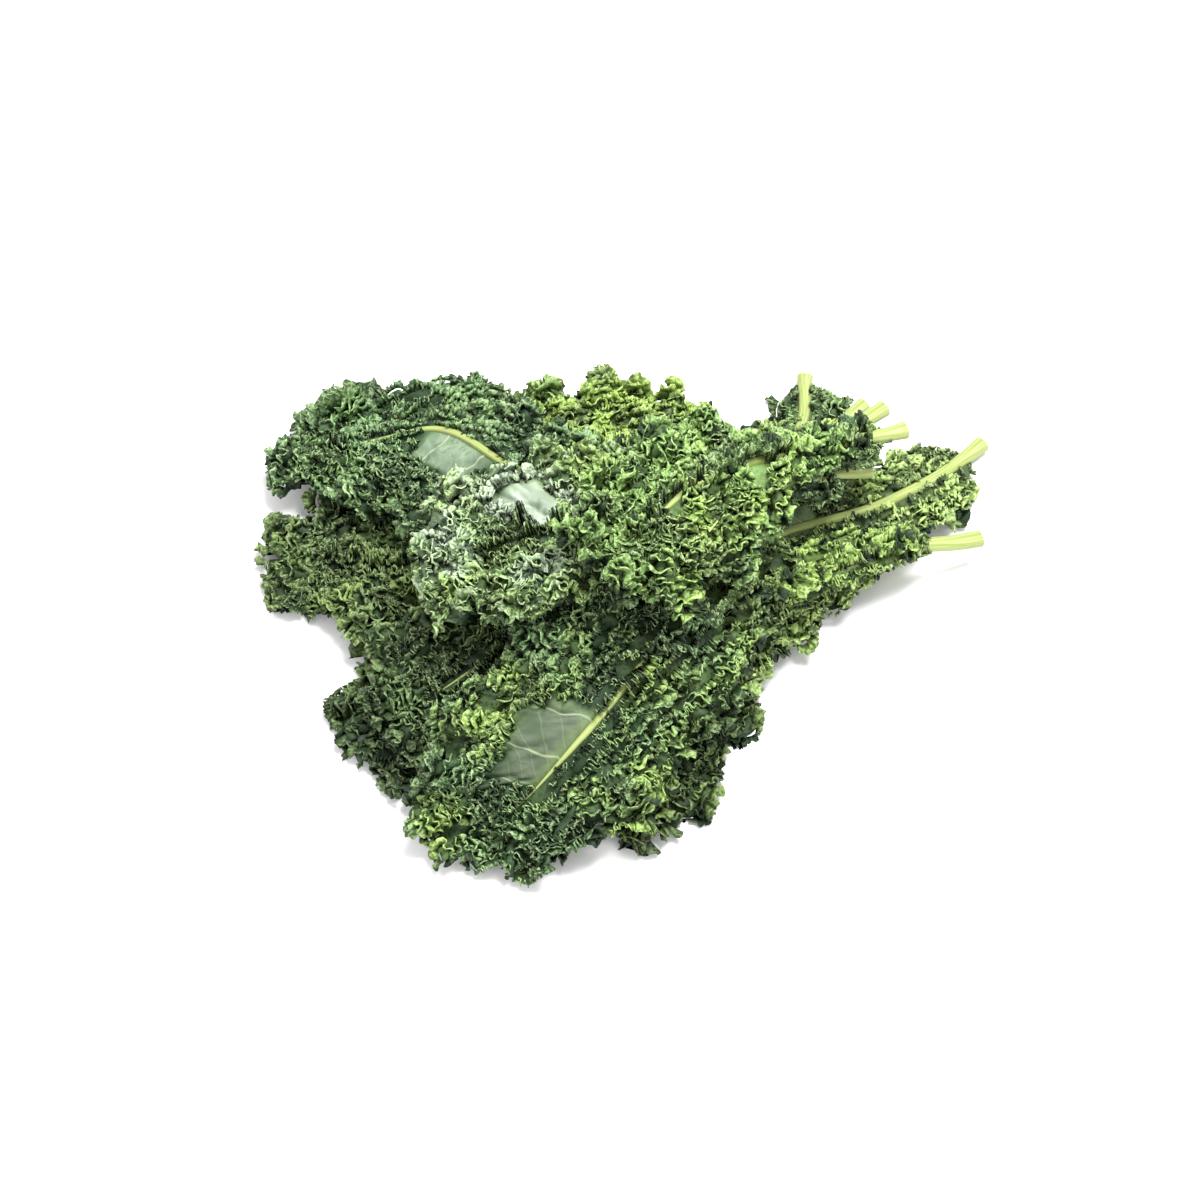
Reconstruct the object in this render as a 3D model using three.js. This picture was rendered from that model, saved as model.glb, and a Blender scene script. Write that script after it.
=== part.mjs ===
// A bunch of curly kale: eleven cut leaves lying on a table, one over another, stalks together on
// one side and blades fanned out on the other.
//
// Millimetres, +Z up. The origin is the middle of the bunch's footprint, on the table. The stalks
// point to +X and the blades to -X.
//
// Each leaf is two pieces: a pale stalk, which runs on as the midrib, and a green blade, a thin
// sheet that goes round the midrib like a horseshoe and waves up and down along its margin.
//
// A leaf is drawn flat first. "along" is the distance from the cut end, following the midrib, and
// "across" is the distance to the left of it. The leaf is then laid on the pile: a pile keeps the
// height of everything that lies on the table, each leaf is lifted until it clears what is below
// it, and its stiffness spreads that lift along the midrib and across the blade.
import * as THREE from "three";

const { clamp, degToRad, lerp, smoothstep } = THREE.MathUtils;
const FULL_TURN = 2 * Math.PI;

// ---- driving dimensions -------------------------------------------------------------------

const BLADE_THICKNESS = 1.1;
const RUFFLE_LENGTH = 31; // of a margin wave, along the margin
const STALK_RADII = [5.2, 4.2, 1.7]; // at the cut end, where the blade starts, at the midrib's end
const STALK_GAP = 0.7; // between the stalk's side and the blade
const SLOT_PAST_END = 4; // how far the slot for the midrib runs on past it
const LEAF_GAP = 0.8; // between two leaves, and between a leaf and the table
const TABLE_PRESS = 2.5; // how far the frills of the lowest blades are pressed into the table

// The eleven leaves, from the lowest to the highest. midrib: the plan of the midrib, from the cut
// end to where it ends. bladeFrom: the share of the midrib's length that is bare stalk. width: how
// wide the blade is on the left of the midrib and on the right. wings: the shares of that width
// which the blade's narrow foot has beside the lower midrib, left and right. bare: the share of the
// width, beside the midrib, that lies smooth. droop: degrees that the blade hangs down to each side
// of the midrib, or stands up if below 0. ruffles: the height of the margin's waves, from the
// middle of the sheet: the lowest leaves are pressed flatter. phase: where the waves start, as a
// share of a turn. restsAt: where the blade lies flat on the table, if it does.
const LEAVES = [
  {
    name: "leaf_01",
    midrib: [[142, 44], [88, 30], [-36, -12], [-124, -60]],
    bladeFrom: 0.2, width: [60, 60], wings: [0.24, 0.24], bare: 0.2, droop: 4, ruffles: 8, phase: 0.1,
    restsAt: [-60, -62],
  },
  {
    name: "leaf_02",
    midrib: [[170, 50], [126, 34], [42, -14], [2, -96]],
    bladeFrom: 0.08, width: [56, 56], wings: [0.16, 0.3], bare: 0.15, droop: 4, ruffles: 8, phase: 0.55,
    restsAt: [56, -62],
  },
  {
    name: "leaf_03",
    midrib: [[109, 173], [105, 136], [82, 104], [50, 92], [14, 112]],
    bladeFrom: 0.04, width: [48, 48], wings: [0.6, 0.42], bare: 0.15, droop: 4, ruffles: 8, phase: 0.3,
    restsAt: [16, 128],
  },
  {
    name: "leaf_04",
    midrib: [[160, 74], [88, 64], [-61, 36], [-171, 42]],
    bladeFrom: 0.1, width: [62, 62], wings: [0.24, 0.24], bare: 0.2, droop: 6, ruffles: 8, phase: 0.8,
  },
  {
    name: "leaf_05",
    midrib: [[143, 144], [98, 106], [26, 100], [-42, 116]],
    bladeFrom: 0.08, width: [56, 56], wings: [0.36, 0.24], bare: 0.15, droop: 8, ruffles: 9, phase: 0.45,
  },
  {
    name: "leaf_06",
    midrib: [[136, 58], [85, 46], [-17, 1], [-104, -56]],
    bladeFrom: 0.1, width: [58, 58], wings: [0.24, 0.24], bare: 0.25, droop: 8, ruffles: 9, phase: 0.65,
  },
  {
    name: "leaf_07",
    midrib: [[213, 124], [150, 66], [82, 34], [46, -14]],
    bladeFrom: 0.07, width: [54, 54], wings: [0.46, 0.5], bare: 0.2, droop: 10, ruffles: 9, phase: 0.2,
  },
  {
    name: "leaf_08",
    midrib: [[205, 48], [110, 16], [24, -42], [-20, -88], [-48, -115], [-64, -128]],
    bladeFrom: 0.1, width: [52, 76], wings: [0.24, 0.2], bare: 0.4, droop: -6, ruffles: 10, phase: 0.05,
  },
  {
    name: "leaf_09",
    midrib: [[150, 117], [84, 64], [-16, 52], [-62, 72], [-112, 116], [-170, 114]],
    bladeFrom: 0.06, width: [62, 48], wings: [0.24, 0.3], bare: 0.3, droop: 16, ruffles: 10, phase: 0.5,
  },
  {
    name: "leaf_10",
    midrib: [[138, 62], [88, 52], [8, 30], [-80, 8]],
    bladeFrom: 0.06, width: [60, 60], wings: [0.24, 0.24], bare: 0.35, droop: 10, ruffles: 11, phase: 0.75,
  },
  {
    name: "leaf_11",
    midrib: [[158, 83], [98, 61], [43, 32], [8, -4]],
    bladeFrom: 0.06, width: [52, 52], wings: [0.24, 0.24], bare: 0.25, droop: 8, ruffles: 14, phase: 0.35,
  },
];

// The spot of each of the three lowest blades that lies flat on the table.
const REST_RADIUS = 20;
const REST_FADE = 42;

// ---- outline of a blade, as shares of its length and half width ----------------------------

const FOOT = [-0.03, 0.07]; // the shares of the margin between which the blade starts
const BODY = [0.14, 0.46]; // between which it widens from its foot to its full width
const TIP = [0.7, 1]; // between which it narrows again
const TIP_REACH = 0.62; // of the half width, past the end of the midrib
const LEAST_REACH = 0.5; // millimetres, of the blade beside the midrib
const LOBES = 5;
const LOBE_DEPTH = 0.13;
const LOBE_TURN = 0.21; // how far the lobes of the two halves are from facing each other
const LOBES_END = [0.85, 1]; // the shares of the margin between which the lobes fade
const BASE_ANGLE = degToRad(84); // between the midrib and the blade's first side vein
const ANGLE_POWER = 2.2; // how late the side veins turn to point past the tip
const ROOT_POWER = 1.7; // how much the roots of the side veins crowd towards the tip
const MIDRIB_POWER = 0.8; // how the midrib thins towards the tip

// ---- waves of the margin ---------------------------------------------------------------------

const RUFFLE_ROOM = [6, 44]; // the half widths between which the waves grow to their full height
const SWELL = 0.15; // how much the waves' height varies along the margin
const SWELL_LENGTH = 3.3; // waves from one swell to the next

// ---- how the model is divided ----------------------------------------------------------------

const MARGIN_STEPS = 200; // that measure each half of the margin
const LIFT_STEP = 4; // between the places where a leaf is held clear of the pile
const FILL_STEP = 3; // between the places where it adds to the pile
const HALF_COLUMNS = 37; // of the blade, along each half of the margin
const ROWS = [0, 0.42, 0.76, 1]; // of the blade, from the midrib to the margin
const STALK_SIDES = 6;
const STALK_STEPS = 20;
const PILE_CELL = 3;
const PILE_HALF = [300, 260];
const PILE_SPREAD = 6; // how far round a point of a leaf the pile counts as filled
const CLOTH_STEP = [10, 8]; // of the grid that carries a leaf's lift, along and across
const CLOTH_STIFFNESS = [2, 1]; // in steps of that grid

/** The height of what lies on the table, in square cells. */
class Pile {
  constructor() {
    this.size = PILE_HALF.map((half) => Math.ceil((2 * half) / PILE_CELL));
    this.tops = new Float64Array(this.size[0] * this.size[1]).fill(-LEAF_GAP);
  }

  cell(value, axis) {
    const index = Math.floor((value + PILE_HALF[axis]) / PILE_CELL);
    return clamp(index, 0, this.size[axis] - 1);
  }

  top(x, y) {
    return this.tops[this.cell(y, 1) * this.size[0] + this.cell(x, 0)];
  }

  fill(x, y, z) {
    const reach = Math.round(PILE_SPREAD / PILE_CELL);
    const column = this.cell(x, 0);
    const row = this.cell(y, 1);
    for (let j = -reach; j <= reach; j++) {
      for (let i = -reach; i <= reach; i++) {
        if (i * i + j * j > reach * reach + 1) continue;
        const at = (row + j) * this.size[0] + column + i;
        this.tops[at] = Math.max(this.tops[at], z);
      }
    }
  }
}

/** A sheet of values over a leaf, which can be made stiff and is read as a smooth surface. */
class Cloth {
  constructor(length, halfWidth) {
    this.length = Math.ceil(length / CLOTH_STEP[0]) + 1;
    this.half = Math.ceil(halfWidth / CLOTH_STEP[1]) + 1;
    this.width = 2 * this.half + 1;
    this.values = new Float64Array(this.length * this.width).fill(-Infinity);
  }

  raise(along, across, value) {
    const i = clamp(Math.round(along / CLOTH_STEP[0]), 0, this.length - 1);
    const j = clamp(Math.round(across / CLOTH_STEP[1]) + this.half, 0, this.width - 1);
    const at = i * this.width + j;
    this.values[at] = Math.max(this.values[at], value);
  }

  /** Replaces each value by what gather makes of the known values within the stiffness. */
  window(gather) {
    const before = this.values.slice();
    for (let i = 0; i < this.length; i++) {
      for (let j = 0; j < this.width; j++) {
        const known = [];
        for (let k = -CLOTH_STIFFNESS[0]; k <= CLOTH_STIFFNESS[0]; k++) {
          for (let l = -CLOTH_STIFFNESS[1]; l <= CLOTH_STIFFNESS[1]; l++) {
            const inside = i + k >= 0 && i + k < this.length && j + l >= 0 && j + l < this.width;
            const value = inside ? before[(i + k) * this.width + j + l] : -Infinity;
            if (value > -Infinity) known.push(value);
          }
        }
        if (known.length) this.values[i * this.width + j] = gather(known);
      }
    }
  }

  /** Spreads each lift over its neighbourhood, evens it out, and fills what is off the leaf. */
  stiffen() {
    const highest = (known) => Math.max(...known);
    const average = (known) => known.reduce((sum, value) => sum + value, 0) / known.length;
    this.window(highest);
    this.window(average);
    this.window(average);
    while (this.values.includes(-Infinity)) {
      const known = this.values.slice();
      this.window(average);
      known.forEach((value, at) => {
        if (value > -Infinity) this.values[at] = value;
      });
    }
  }

  /** The value at a point, from a cubic B-spline over the grid. */
  at(along, across) {
    const weights = (t) => [
      (1 - t) ** 3 / 6,
      (3 * t ** 3 - 6 * t ** 2 + 4) / 6,
      (-3 * t ** 3 + 3 * t ** 2 + 3 * t + 1) / 6,
      t ** 3 / 6,
    ];
    const u = clamp(along / CLOTH_STEP[0], 0, this.length - 1);
    const v = clamp(across / CLOTH_STEP[1] + this.half, 0, this.width - 1);
    const [wu, wv] = [weights(u - Math.floor(u)), weights(v - Math.floor(v))];
    let sum = 0;
    for (let k = 0; k < 4; k++) {
      for (let l = 0; l < 4; l++) {
        const i = clamp(Math.floor(u) + k - 1, 0, this.length - 1);
        const j = clamp(Math.floor(v) + l - 1, 0, this.width - 1);
        sum += wu[k] * wv[l] * this.values[i * this.width + j];
      }
    }
    return sum;
  }
}

/** One leaf: its flat outline, and then the place that it takes on the pile. */
class Leaf {
  constructor(spec) {
    Object.assign(this, spec);
    const points = spec.midrib.map(([x, y]) => new THREE.Vector3(x, y, 0));
    this.curve = new THREE.CatmullRomCurve3(points, false, "catmullrom", 0.5);
    this.length = this.curve.getLength();
    this.bladeStart = this.bladeFrom * this.length;
    this.widest = Math.max(...spec.width);
    this.droopSlope = Math.tan(degToRad(this.droop));
    this.halves = [this.measureMargin(1), this.measureMargin(-1)];
  }

  /** The width of the blade beside the midrib at a share of its margin, with its lobes. */
  reach(share, side) {
    const which = side > 0 ? 0 : 1;
    const foot = smoothstep(share, ...FOOT);
    const body = lerp(this.wings[which], 1, smoothstep(share, ...BODY));
    const tip = lerp(1, TIP_REACH, smoothstep(share, ...TIP));
    const turn = FULL_TURN * (LOBES * share + this.phase + LOBE_TURN * side);
    const lobes = 1 + LOBE_DEPTH * Math.cos(turn) * (1 - smoothstep(share, ...LOBES_END));
    return this.width[which] * foot * body * tip * lobes;
  }

  /** The flat place of a point of the blade: level is 0 beside the midrib and 1 at the margin. */
  flat(share, level, side) {
    const end = this.length + SLOT_PAST_END;
    const root = end - (end - this.bladeStart) * (1 - share) ** ROOT_POWER;
    const slot = this.stalkRadius(root) + STALK_GAP;
    const round = Math.sqrt(clamp((end - root) / slot, 0, 1));
    const angle = BASE_ANGLE * (1 - share ** ANGLE_POWER);
    const out = Math.max(LEAST_REACH, this.reach(share, side) - slot) * level;
    return [root + out * Math.cos(angle), side * (slot * round + out * Math.sin(angle))];
  }

  stalkRadius(along) {
    const [cut, start, end] = STALK_RADII;
    if (along < this.bladeStart) return lerp(cut, start, along / this.bladeStart);
    const share = (along - this.bladeStart) / (this.length - this.bladeStart);
    return lerp(start, end, clamp(share, 0, 1) ** MIDRIB_POWER);
  }

  /** The length of the margin up to each of its steps, from the base of the blade to its tip. */
  measureMargin(side) {
    const lengths = [0];
    for (let i = 1; i <= MARGIN_STEPS; i++) {
      const [a, b] = this.flat((i - 1) / MARGIN_STEPS, 1, side);
      const [c, d] = this.flat(i / MARGIN_STEPS, 1, side);
      lengths.push(lengths[i - 1] + Math.hypot(c - a, d - b));
    }
    return { side, lengths, total: lengths[MARGIN_STEPS] };
  }

  /** The share of the margin's steps at a distance along it. */
  shareAt(half, distance) {
    const next = half.lengths.findIndex((length) => length >= distance);
    if (next <= 0) return next < 0 ? 1 : 0;
    const [low, high] = [half.lengths[next - 1], half.lengths[next]];
    return (next - 1 + (distance - low) / (high - low)) / MARGIN_STEPS;
  }

  /** How high the margin's waves stand at a share of the margin and a level. */
  ruffle(share, level, side) {
    const room = smoothstep(this.reach(share, side), ...RUFFLE_ROOM);
    return this.ruffles * room * smoothstep(level, this.bare, 1);
  }

  wave(half, distance) {
    const turn = distance / RUFFLE_LENGTH + this.phase;
    const swell = Math.sin((FULL_TURN * distance) / (SWELL_LENGTH * RUFFLE_LENGTH));
    return half.side * (1 - SWELL + SWELL * swell) * Math.sin(FULL_TURN * turn);
  }

  /** The place on the table under a flat point of the leaf. */
  plan(along, across) {
    const share = clamp(along / this.length, 0, 1);
    const point = this.curve.getPointAt(share);
    const ahead = this.curve.getTangentAt(share);
    const past = along - share * this.length;
    return [
      point.x + ahead.x * past - ahead.y * across,
      point.y + ahead.y * past + ahead.x * across,
    ];
  }

  hang(across) {
    return -this.droopSlope * Math.abs(across);
  }

  /** Every place where the leaf can touch another, with the room that it needs up and down. */
  *feelers(step) {
    for (let along = 0; along <= this.length; along += step) {
      yield { along, across: 0, room: this.stalkRadius(along) };
    }
    for (const half of this.halves) {
      const columns = Math.ceil(half.total / step);
      const rows = Math.ceil(this.widest / step);
      for (let i = 0; i <= columns; i++) {
        const share = this.shareAt(half, (half.total * i) / columns);
        for (let j = 0; j <= rows; j++) {
          const [along, across] = this.flat(share, j / rows, half.side);
          const room = this.ruffle(share, j / rows, half.side) + BLADE_THICKNESS / 2;
          yield { along, across, room };
        }
      }
    }
  }

  /** Lays the leaf on the pile, and adds it to the pile. */
  settle(pile) {
    this.cloth = new Cloth(this.length + this.widest, this.widest * (1 + LOBE_DEPTH));
    for (const { along, across, room } of this.feelers(LIFT_STEP)) {
      const below = pile.top(...this.plan(along, across));
      const press = below < 0 && across !== 0 ? TABLE_PRESS : 0;
      this.cloth.raise(along, across, below + LEAF_GAP + room - press - this.hang(across));
    }
    this.cloth.stiffen();
    for (const { along, across, room } of this.feelers(FILL_STEP)) {
      const height = across === 0 ? this.ribHeight(along) : this.height(along, across);
      pile.fill(...this.plan(along, across), height + room);
    }
  }

  height(along, across) {
    return this.hang(across) + this.cloth.at(along, across);
  }

  ribHeight(along) {
    return Math.max(this.height(along, 0), this.stalkRadius(along));
  }

  /** A point of the blade's middle surface, with its waves, pressed flat at the rest spots. */
  bladePoint(half, distance, level) {
    const share = this.shareAt(half, distance);
    const [along, across] = this.flat(share, level, half.side);
    const [x, y] = this.plan(along, across);
    let z = this.height(along, across);
    z += this.ruffle(share, level, half.side) * this.wave(half, distance);
    const low = BLADE_THICKNESS / 2;
    if (this.restsAt) {
      const away = Math.hypot(x - this.restsAt[0], y - this.restsAt[1]);
      z = lerp(low, z, smoothstep(away, REST_RADIUS, REST_FADE));
    }
    return new THREE.Vector3(x, y, Math.max(z, low));
  }
}

/** A closed solid from a grid of points, as thick as stated, with the same split on both faces. */
function thickSheet(grid, thickness) {
  const [columns, rows] = [grid.length, grid[0].length];
  const middle = new THREE.BufferGeometry().setFromPoints(grid.flat());
  const faces = [];
  for (let i = 0; i + 1 < columns; i++) {
    for (let j = 0; j + 1 < rows; j++) {
      const corner = i * rows + j;
      const [a, b, c, d] = [corner, corner + rows, corner + rows + 1, corner + 1];
      faces.push(...((i + j) % 2 ? [a, b, c, a, c, d] : [a, b, d, b, c, d]));
    }
  }
  middle.setIndex(faces).computeVertexNormals();
  const points = [];
  const normals = middle.getAttribute("normal");
  for (const way of [0.5, -0.5]) {
    grid.flat().forEach((point, at) => {
      const normal = new THREE.Vector3().fromBufferAttribute(normals, at);
      const moved = point.clone().addScaledVector(normal, way * thickness);
      if (point.z <= thickness / 2) moved.z = (0.5 + way) * thickness;
      moved.z = Math.max(moved.z, 0);
      points.push(moved);
    });
  }
  const under = columns * rows;
  const index = [...faces];
  for (let k = 0; k < faces.length; k += 3) {
    index.push(faces[k] + under, faces[k + 2] + under, faces[k + 1] + under);
  }
  const rim = [];
  for (let i = 0; i + 1 < columns; i++) rim.push(i * rows);
  for (let j = 0; j + 1 < rows; j++) rim.push((columns - 1) * rows + j);
  for (let i = columns - 1; i > 0; i--) rim.push(i * rows + rows - 1);
  for (let j = rows - 1; j > 0; j--) rim.push(j);
  rim.forEach((a, k) => {
    const b = rim[(k + 1) % rim.length];
    index.push(a, a + under, b + under, a, b + under, b);
  });
  return new THREE.BufferGeometry().setFromPoints(points).setIndex(index);
}

/** The blade: a horseshoe round the midrib, from the base on the left, past the tip, to the right. */
function bladeGeometry(leaf) {
  const [left, right] = leaf.halves;
  const column = (half, i) =>
    ROWS.map((level) => leaf.bladePoint(half, (half.total * i) / HALF_COLUMNS, level));
  const grid = [];
  for (let i = 0; i < HALF_COLUMNS; i++) grid.push(column(left, i));
  grid.push(column(left, HALF_COLUMNS));
  for (let i = HALF_COLUMNS - 1; i >= 0; i--) grid.push(column(right, i));
  return thickSheet(grid, BLADE_THICKNESS);
}

/** The stalk and midrib: a closed cylinder, bent along the leaf and tapered. */
function stalkGeometry(leaf) {
  const geometry = new THREE.CylinderGeometry(1, 1, 1, STALK_SIDES, STALK_STEPS);
  const places = geometry.getAttribute("position");
  const at = (along) => new THREE.Vector3(...leaf.plan(along, 0), leaf.ribHeight(along));
  for (let i = 0; i < places.count; i++) {
    const along = (places.getY(i) + 0.5) * leaf.length;
    const radius = leaf.stalkRadius(along);
    const ahead = at(along + 1).sub(at(along - 1)).normalize();
    const right = new THREE.Vector3(ahead.y, -ahead.x, 0).normalize();
    const up = new THREE.Vector3().crossVectors(right, ahead);
    const point = at(along)
      .addScaledVector(right, radius * places.getX(i))
      .addScaledVector(up, radius * places.getZ(i));
    places.setXYZ(i, point.x, point.y, point.z);
  }
  return geometry;
}

// ---- the bunch -------------------------------------------------------------------------------

const bladeMaterial = new THREE.MeshStandardMaterial({ color: 0x4f7a45, roughness: 0.6 });
const stalkMaterial = new THREE.MeshStandardMaterial({ color: 0xbccb85, roughness: 0.45 });

const bunch = new THREE.Group();
const pile = new Pile();
for (const spec of LEAVES) {
  const leaf = new Leaf(spec);
  leaf.settle(pile);
  const stalk = new THREE.Mesh(stalkGeometry(leaf), stalkMaterial);
  const blade = new THREE.Mesh(bladeGeometry(leaf), bladeMaterial);
  stalk.name = `${spec.name}_stalk`;
  blade.name = `${spec.name}_blade`;
  bunch.add(stalk, blade);
}

const box = new THREE.Box3().setFromObject(bunch);
const middle = box.getCenter(new THREE.Vector3());
bunch.position.set(-middle.x, -middle.y, -box.min.z);

const kale = new THREE.Group().add(bunch);

export default kale;
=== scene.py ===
"""A bunch of curly kale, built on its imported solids.

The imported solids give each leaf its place. Every blade is replaced by a finer one that follows the
same midrib, lies on the same pile and carries the same waves, and adds the small curls, the veins
and the colours. Every stalk is replaced by a grooved one with a cut face.

Leaves are worked out in millimetres on the plan of the bunch, and written to meshes in metres.
"""

import logging
import math
from dataclasses import dataclass
from enum import Enum, IntEnum

import bmesh
import bpy
import numpy as np
from mathutils import Matrix, Vector

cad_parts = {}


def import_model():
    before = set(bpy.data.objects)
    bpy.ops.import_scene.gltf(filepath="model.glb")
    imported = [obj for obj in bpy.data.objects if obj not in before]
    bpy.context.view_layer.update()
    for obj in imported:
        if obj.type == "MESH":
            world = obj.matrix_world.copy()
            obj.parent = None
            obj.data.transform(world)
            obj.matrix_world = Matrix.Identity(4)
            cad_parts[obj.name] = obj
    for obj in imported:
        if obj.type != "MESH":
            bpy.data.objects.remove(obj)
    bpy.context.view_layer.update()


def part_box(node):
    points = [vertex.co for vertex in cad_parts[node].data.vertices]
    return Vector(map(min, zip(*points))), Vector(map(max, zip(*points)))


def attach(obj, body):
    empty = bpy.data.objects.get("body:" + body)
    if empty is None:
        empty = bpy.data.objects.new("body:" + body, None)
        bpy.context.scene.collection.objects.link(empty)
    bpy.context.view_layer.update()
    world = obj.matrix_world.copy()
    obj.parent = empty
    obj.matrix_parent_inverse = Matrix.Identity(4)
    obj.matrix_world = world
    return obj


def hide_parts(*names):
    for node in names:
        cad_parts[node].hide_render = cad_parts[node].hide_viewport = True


log = logging.getLogger("kale")

METRES = 0.001
RIDES_ON = "root"

# The leaf and its margin's waves, in millimetres and in shares, as in the solids.
BLADE_THICKNESS = 1.1
RUFFLE_LENGTH = 31.0
STALK_RADII = (5.2, 4.2, 1.7)
STALK_GAP = 0.7
SLOT_PAST_END = 4.0
LEAF_GAP = 0.8
TABLE_PRESS = 2.5
REST_RADIUS = 20.0
REST_FADE = 42.0

# The blade's outline, at shares of its margin.
FOOT = (-0.03, 0.07)
BODY = (0.14, 0.46)
TIP = (0.7, 1.0)
TIP_REACH = 0.62
LEAST_REACH = 0.5
LOBES = 5
LOBE_DEPTH = 0.13
LOBE_TURN = 0.21
LOBES_END = (0.85, 1.0)
BASE_ANGLE = math.radians(84)
ANGLE_POWER = 2.2
ROOT_POWER = 1.7
MIDRIB_POWER = 0.8
RUFFLE_ROOM = (6.0, 44.0)
SWELL = 0.15
SWELL_LENGTH = 3.3
MARGIN_STEPS = 200

# The pile, and how stiff a leaf is on it.
LIFT_STEP = 4.0
FILL_STEP = 3.0
PILE_CELL = 3.0
PILE_HALF = (300.0, 260.0)
PILE_SPREAD = 6.0
CLOTH_STEP = (10.0, 8.0)
CLOTH_STIFFNESS = (2, 1)

# The solids' own mesh, by which the leaves are set in place.
SOLID_COLUMNS = 37
SOLID_ROWS = (0.0, 0.42, 0.76, 1.0)

# What the finer blades add.
SHEET_WAVES = 0.75
COVER_DEPTH = 5
CENTRE_LEVEL = -0.06
VALUES = ("level", "edge", "share", "rise", "bloom")
SIDE_VEINS = 11.0
PATCH_SPACING = 4.0


class Side(IntEnum):
    """A side of the midrib, seen from the cut end, as the sign of distances across the leaf."""

    LEFT = 1
    RIGHT = -1


class Slot(Enum):
    """What a piece is made of, as the record names it."""

    BLADE = "blade"
    STALK = "stalk"


def smoothstep(value: np.ndarray, low: float, high: float) -> np.ndarray:
    """Returns 0 below low and 1 above high, with a smooth rise between them."""
    share = np.clip((value - low) / (high - low), 0.0, 1.0)
    return share * share * (3.0 - 2.0 * share)


def lerp(start: np.ndarray, end: np.ndarray, share: np.ndarray) -> np.ndarray:
    """Returns the value a share of the way from start to end."""
    return start + (end - start) * share


def unit(vectors: np.ndarray) -> np.ndarray:
    """Returns the vectors, each with a length of 1."""
    return vectors / np.maximum(np.linalg.norm(vectors, axis=-1, keepdims=True), 1e-9)


def window(value: np.ndarray, start: float, end: float, blur: float) -> np.ndarray:
    """Returns 1 between start and end and 0 outside them, with smooth steps of half-width blur."""
    inside = smoothstep(value, start - blur, start + blur)
    return inside * (1 - smoothstep(value, end - blur, end + blur))


def lengths_along(points: np.ndarray) -> np.ndarray:
    """Returns how far along a line each of its points is."""
    steps = np.linalg.norm(np.diff(points, axis=0), axis=1)
    return np.concatenate([[0.0], np.cumsum(steps)])


class Drift:
    """A smooth random curve between -1 and 1, the same for the same seed."""

    def __init__(self, seed: int, reach: float, period: float) -> None:
        """Draws the curve.

        Args:
            seed: Which curve this is.
            reach: The longest distance that it is read at.
            period: About how far apart its turns are.
        """
        knots = int(reach / period) + 4
        self.places = np.arange(knots) * period
        self.values = np.random.default_rng(seed).uniform(-1.0, 1.0, knots)

    def at(self, distance: np.ndarray) -> np.ndarray:
        """Returns the curve at each distance."""
        step = self.places[1]
        low = np.clip(np.floor(distance / step).astype(int), 0, len(self.values) - 2)
        share = smoothstep(distance / step - low, 0.0, 1.0)
        return lerp(self.values[low], self.values[low + 1], share)


class Field:
    """A smooth random value at each place, mostly between -2 and 2, the same for the same seed."""

    WAVES = 7
    WAVE_HEIGHT = 0.5
    SHORTEST = 0.7
    LONGEST = 1.4

    def __init__(self, seed: int, size: float) -> None:
        """Draws the field.

        Args:
            seed: Which field this is.
            size: About how far apart its hills are.
        """
        draw = np.random.default_rng(seed)
        angle = draw.uniform(0.0, 2 * math.pi, self.WAVES)
        pitch = 2 * math.pi / (size * draw.uniform(self.SHORTEST, self.LONGEST, self.WAVES))
        self.pull = np.stack([pitch * np.cos(angle), pitch * np.sin(angle)])
        self.phase = draw.uniform(0.0, 2 * math.pi, self.WAVES)

    def at(self, points: np.ndarray) -> np.ndarray:
        """Returns the field over each point."""
        turns = points[..., :2] @ self.pull + self.phase
        return np.sin(turns).sum(axis=-1) * self.WAVE_HEIGHT


@dataclass(frozen=True)
class Bare:
    """A part of a blade without frills, beside the midrib on one side of it.

    start and end are shares of the margin, and level is how far out it reaches. wrinkles is how
    deep it is quilted, 1 for a calm blade, and glow is how much of its bloom the frills round it
    share.
    """

    side: Side
    start: float
    end: float
    level: float
    wrinkles: float = 1.0
    glow: float = 0.0

    SHARE_BLUR = 0.03
    LEVEL_BLUR = 0.08
    GLOW_FADES = (0.5, 1.1)

    def covers(self, side: Side, share: np.ndarray, level: np.ndarray) -> np.ndarray:
        """Returns how surely each point lies in this part, from 0 to 1."""
        if side != self.side:
            return np.zeros(np.broadcast(share, level).shape)
        inside = window(share, self.start, self.end, self.SHARE_BLUR)
        edge = smoothstep(level, self.level - self.LEVEL_BLUR, self.level + self.LEVEL_BLUR)
        return inside * (1 - edge)

    def glows(self, side: Side, share: np.ndarray, level: np.ndarray) -> np.ndarray:
        """Returns how much bloom the frills at each point take from this part, from 0 to 1."""
        if side != self.side:
            return np.zeros(np.broadcast(share, level).shape)
        middle = (self.start + self.end) / 2
        away = np.hypot((share - middle) / (self.end - self.start), (level - self.level / 2) / self.level)
        return self.glow * (1 - smoothstep(away, *self.GLOW_FADES))


@dataclass(frozen=True)
class Trim:
    """A part of a margin whose frills are shorter or longer than elsewhere.

    start and end are shares of the margin, and times is how many times as long as elsewhere the
    frills are.
    """

    side: Side
    start: float
    end: float
    times: float

    BLUR = 0.02
    MARGIN = (0.7, 0.85)

    def at(self, side: Side, share: np.ndarray, level: np.ndarray) -> np.ndarray:
        """Returns how many times as long the frills are at each place."""
        inside = window(share, self.start, self.end, self.BLUR)
        inside = inside * smoothstep(level, *self.MARGIN) * (side == self.side)
        return 1 + (self.times - 1) * inside


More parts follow.
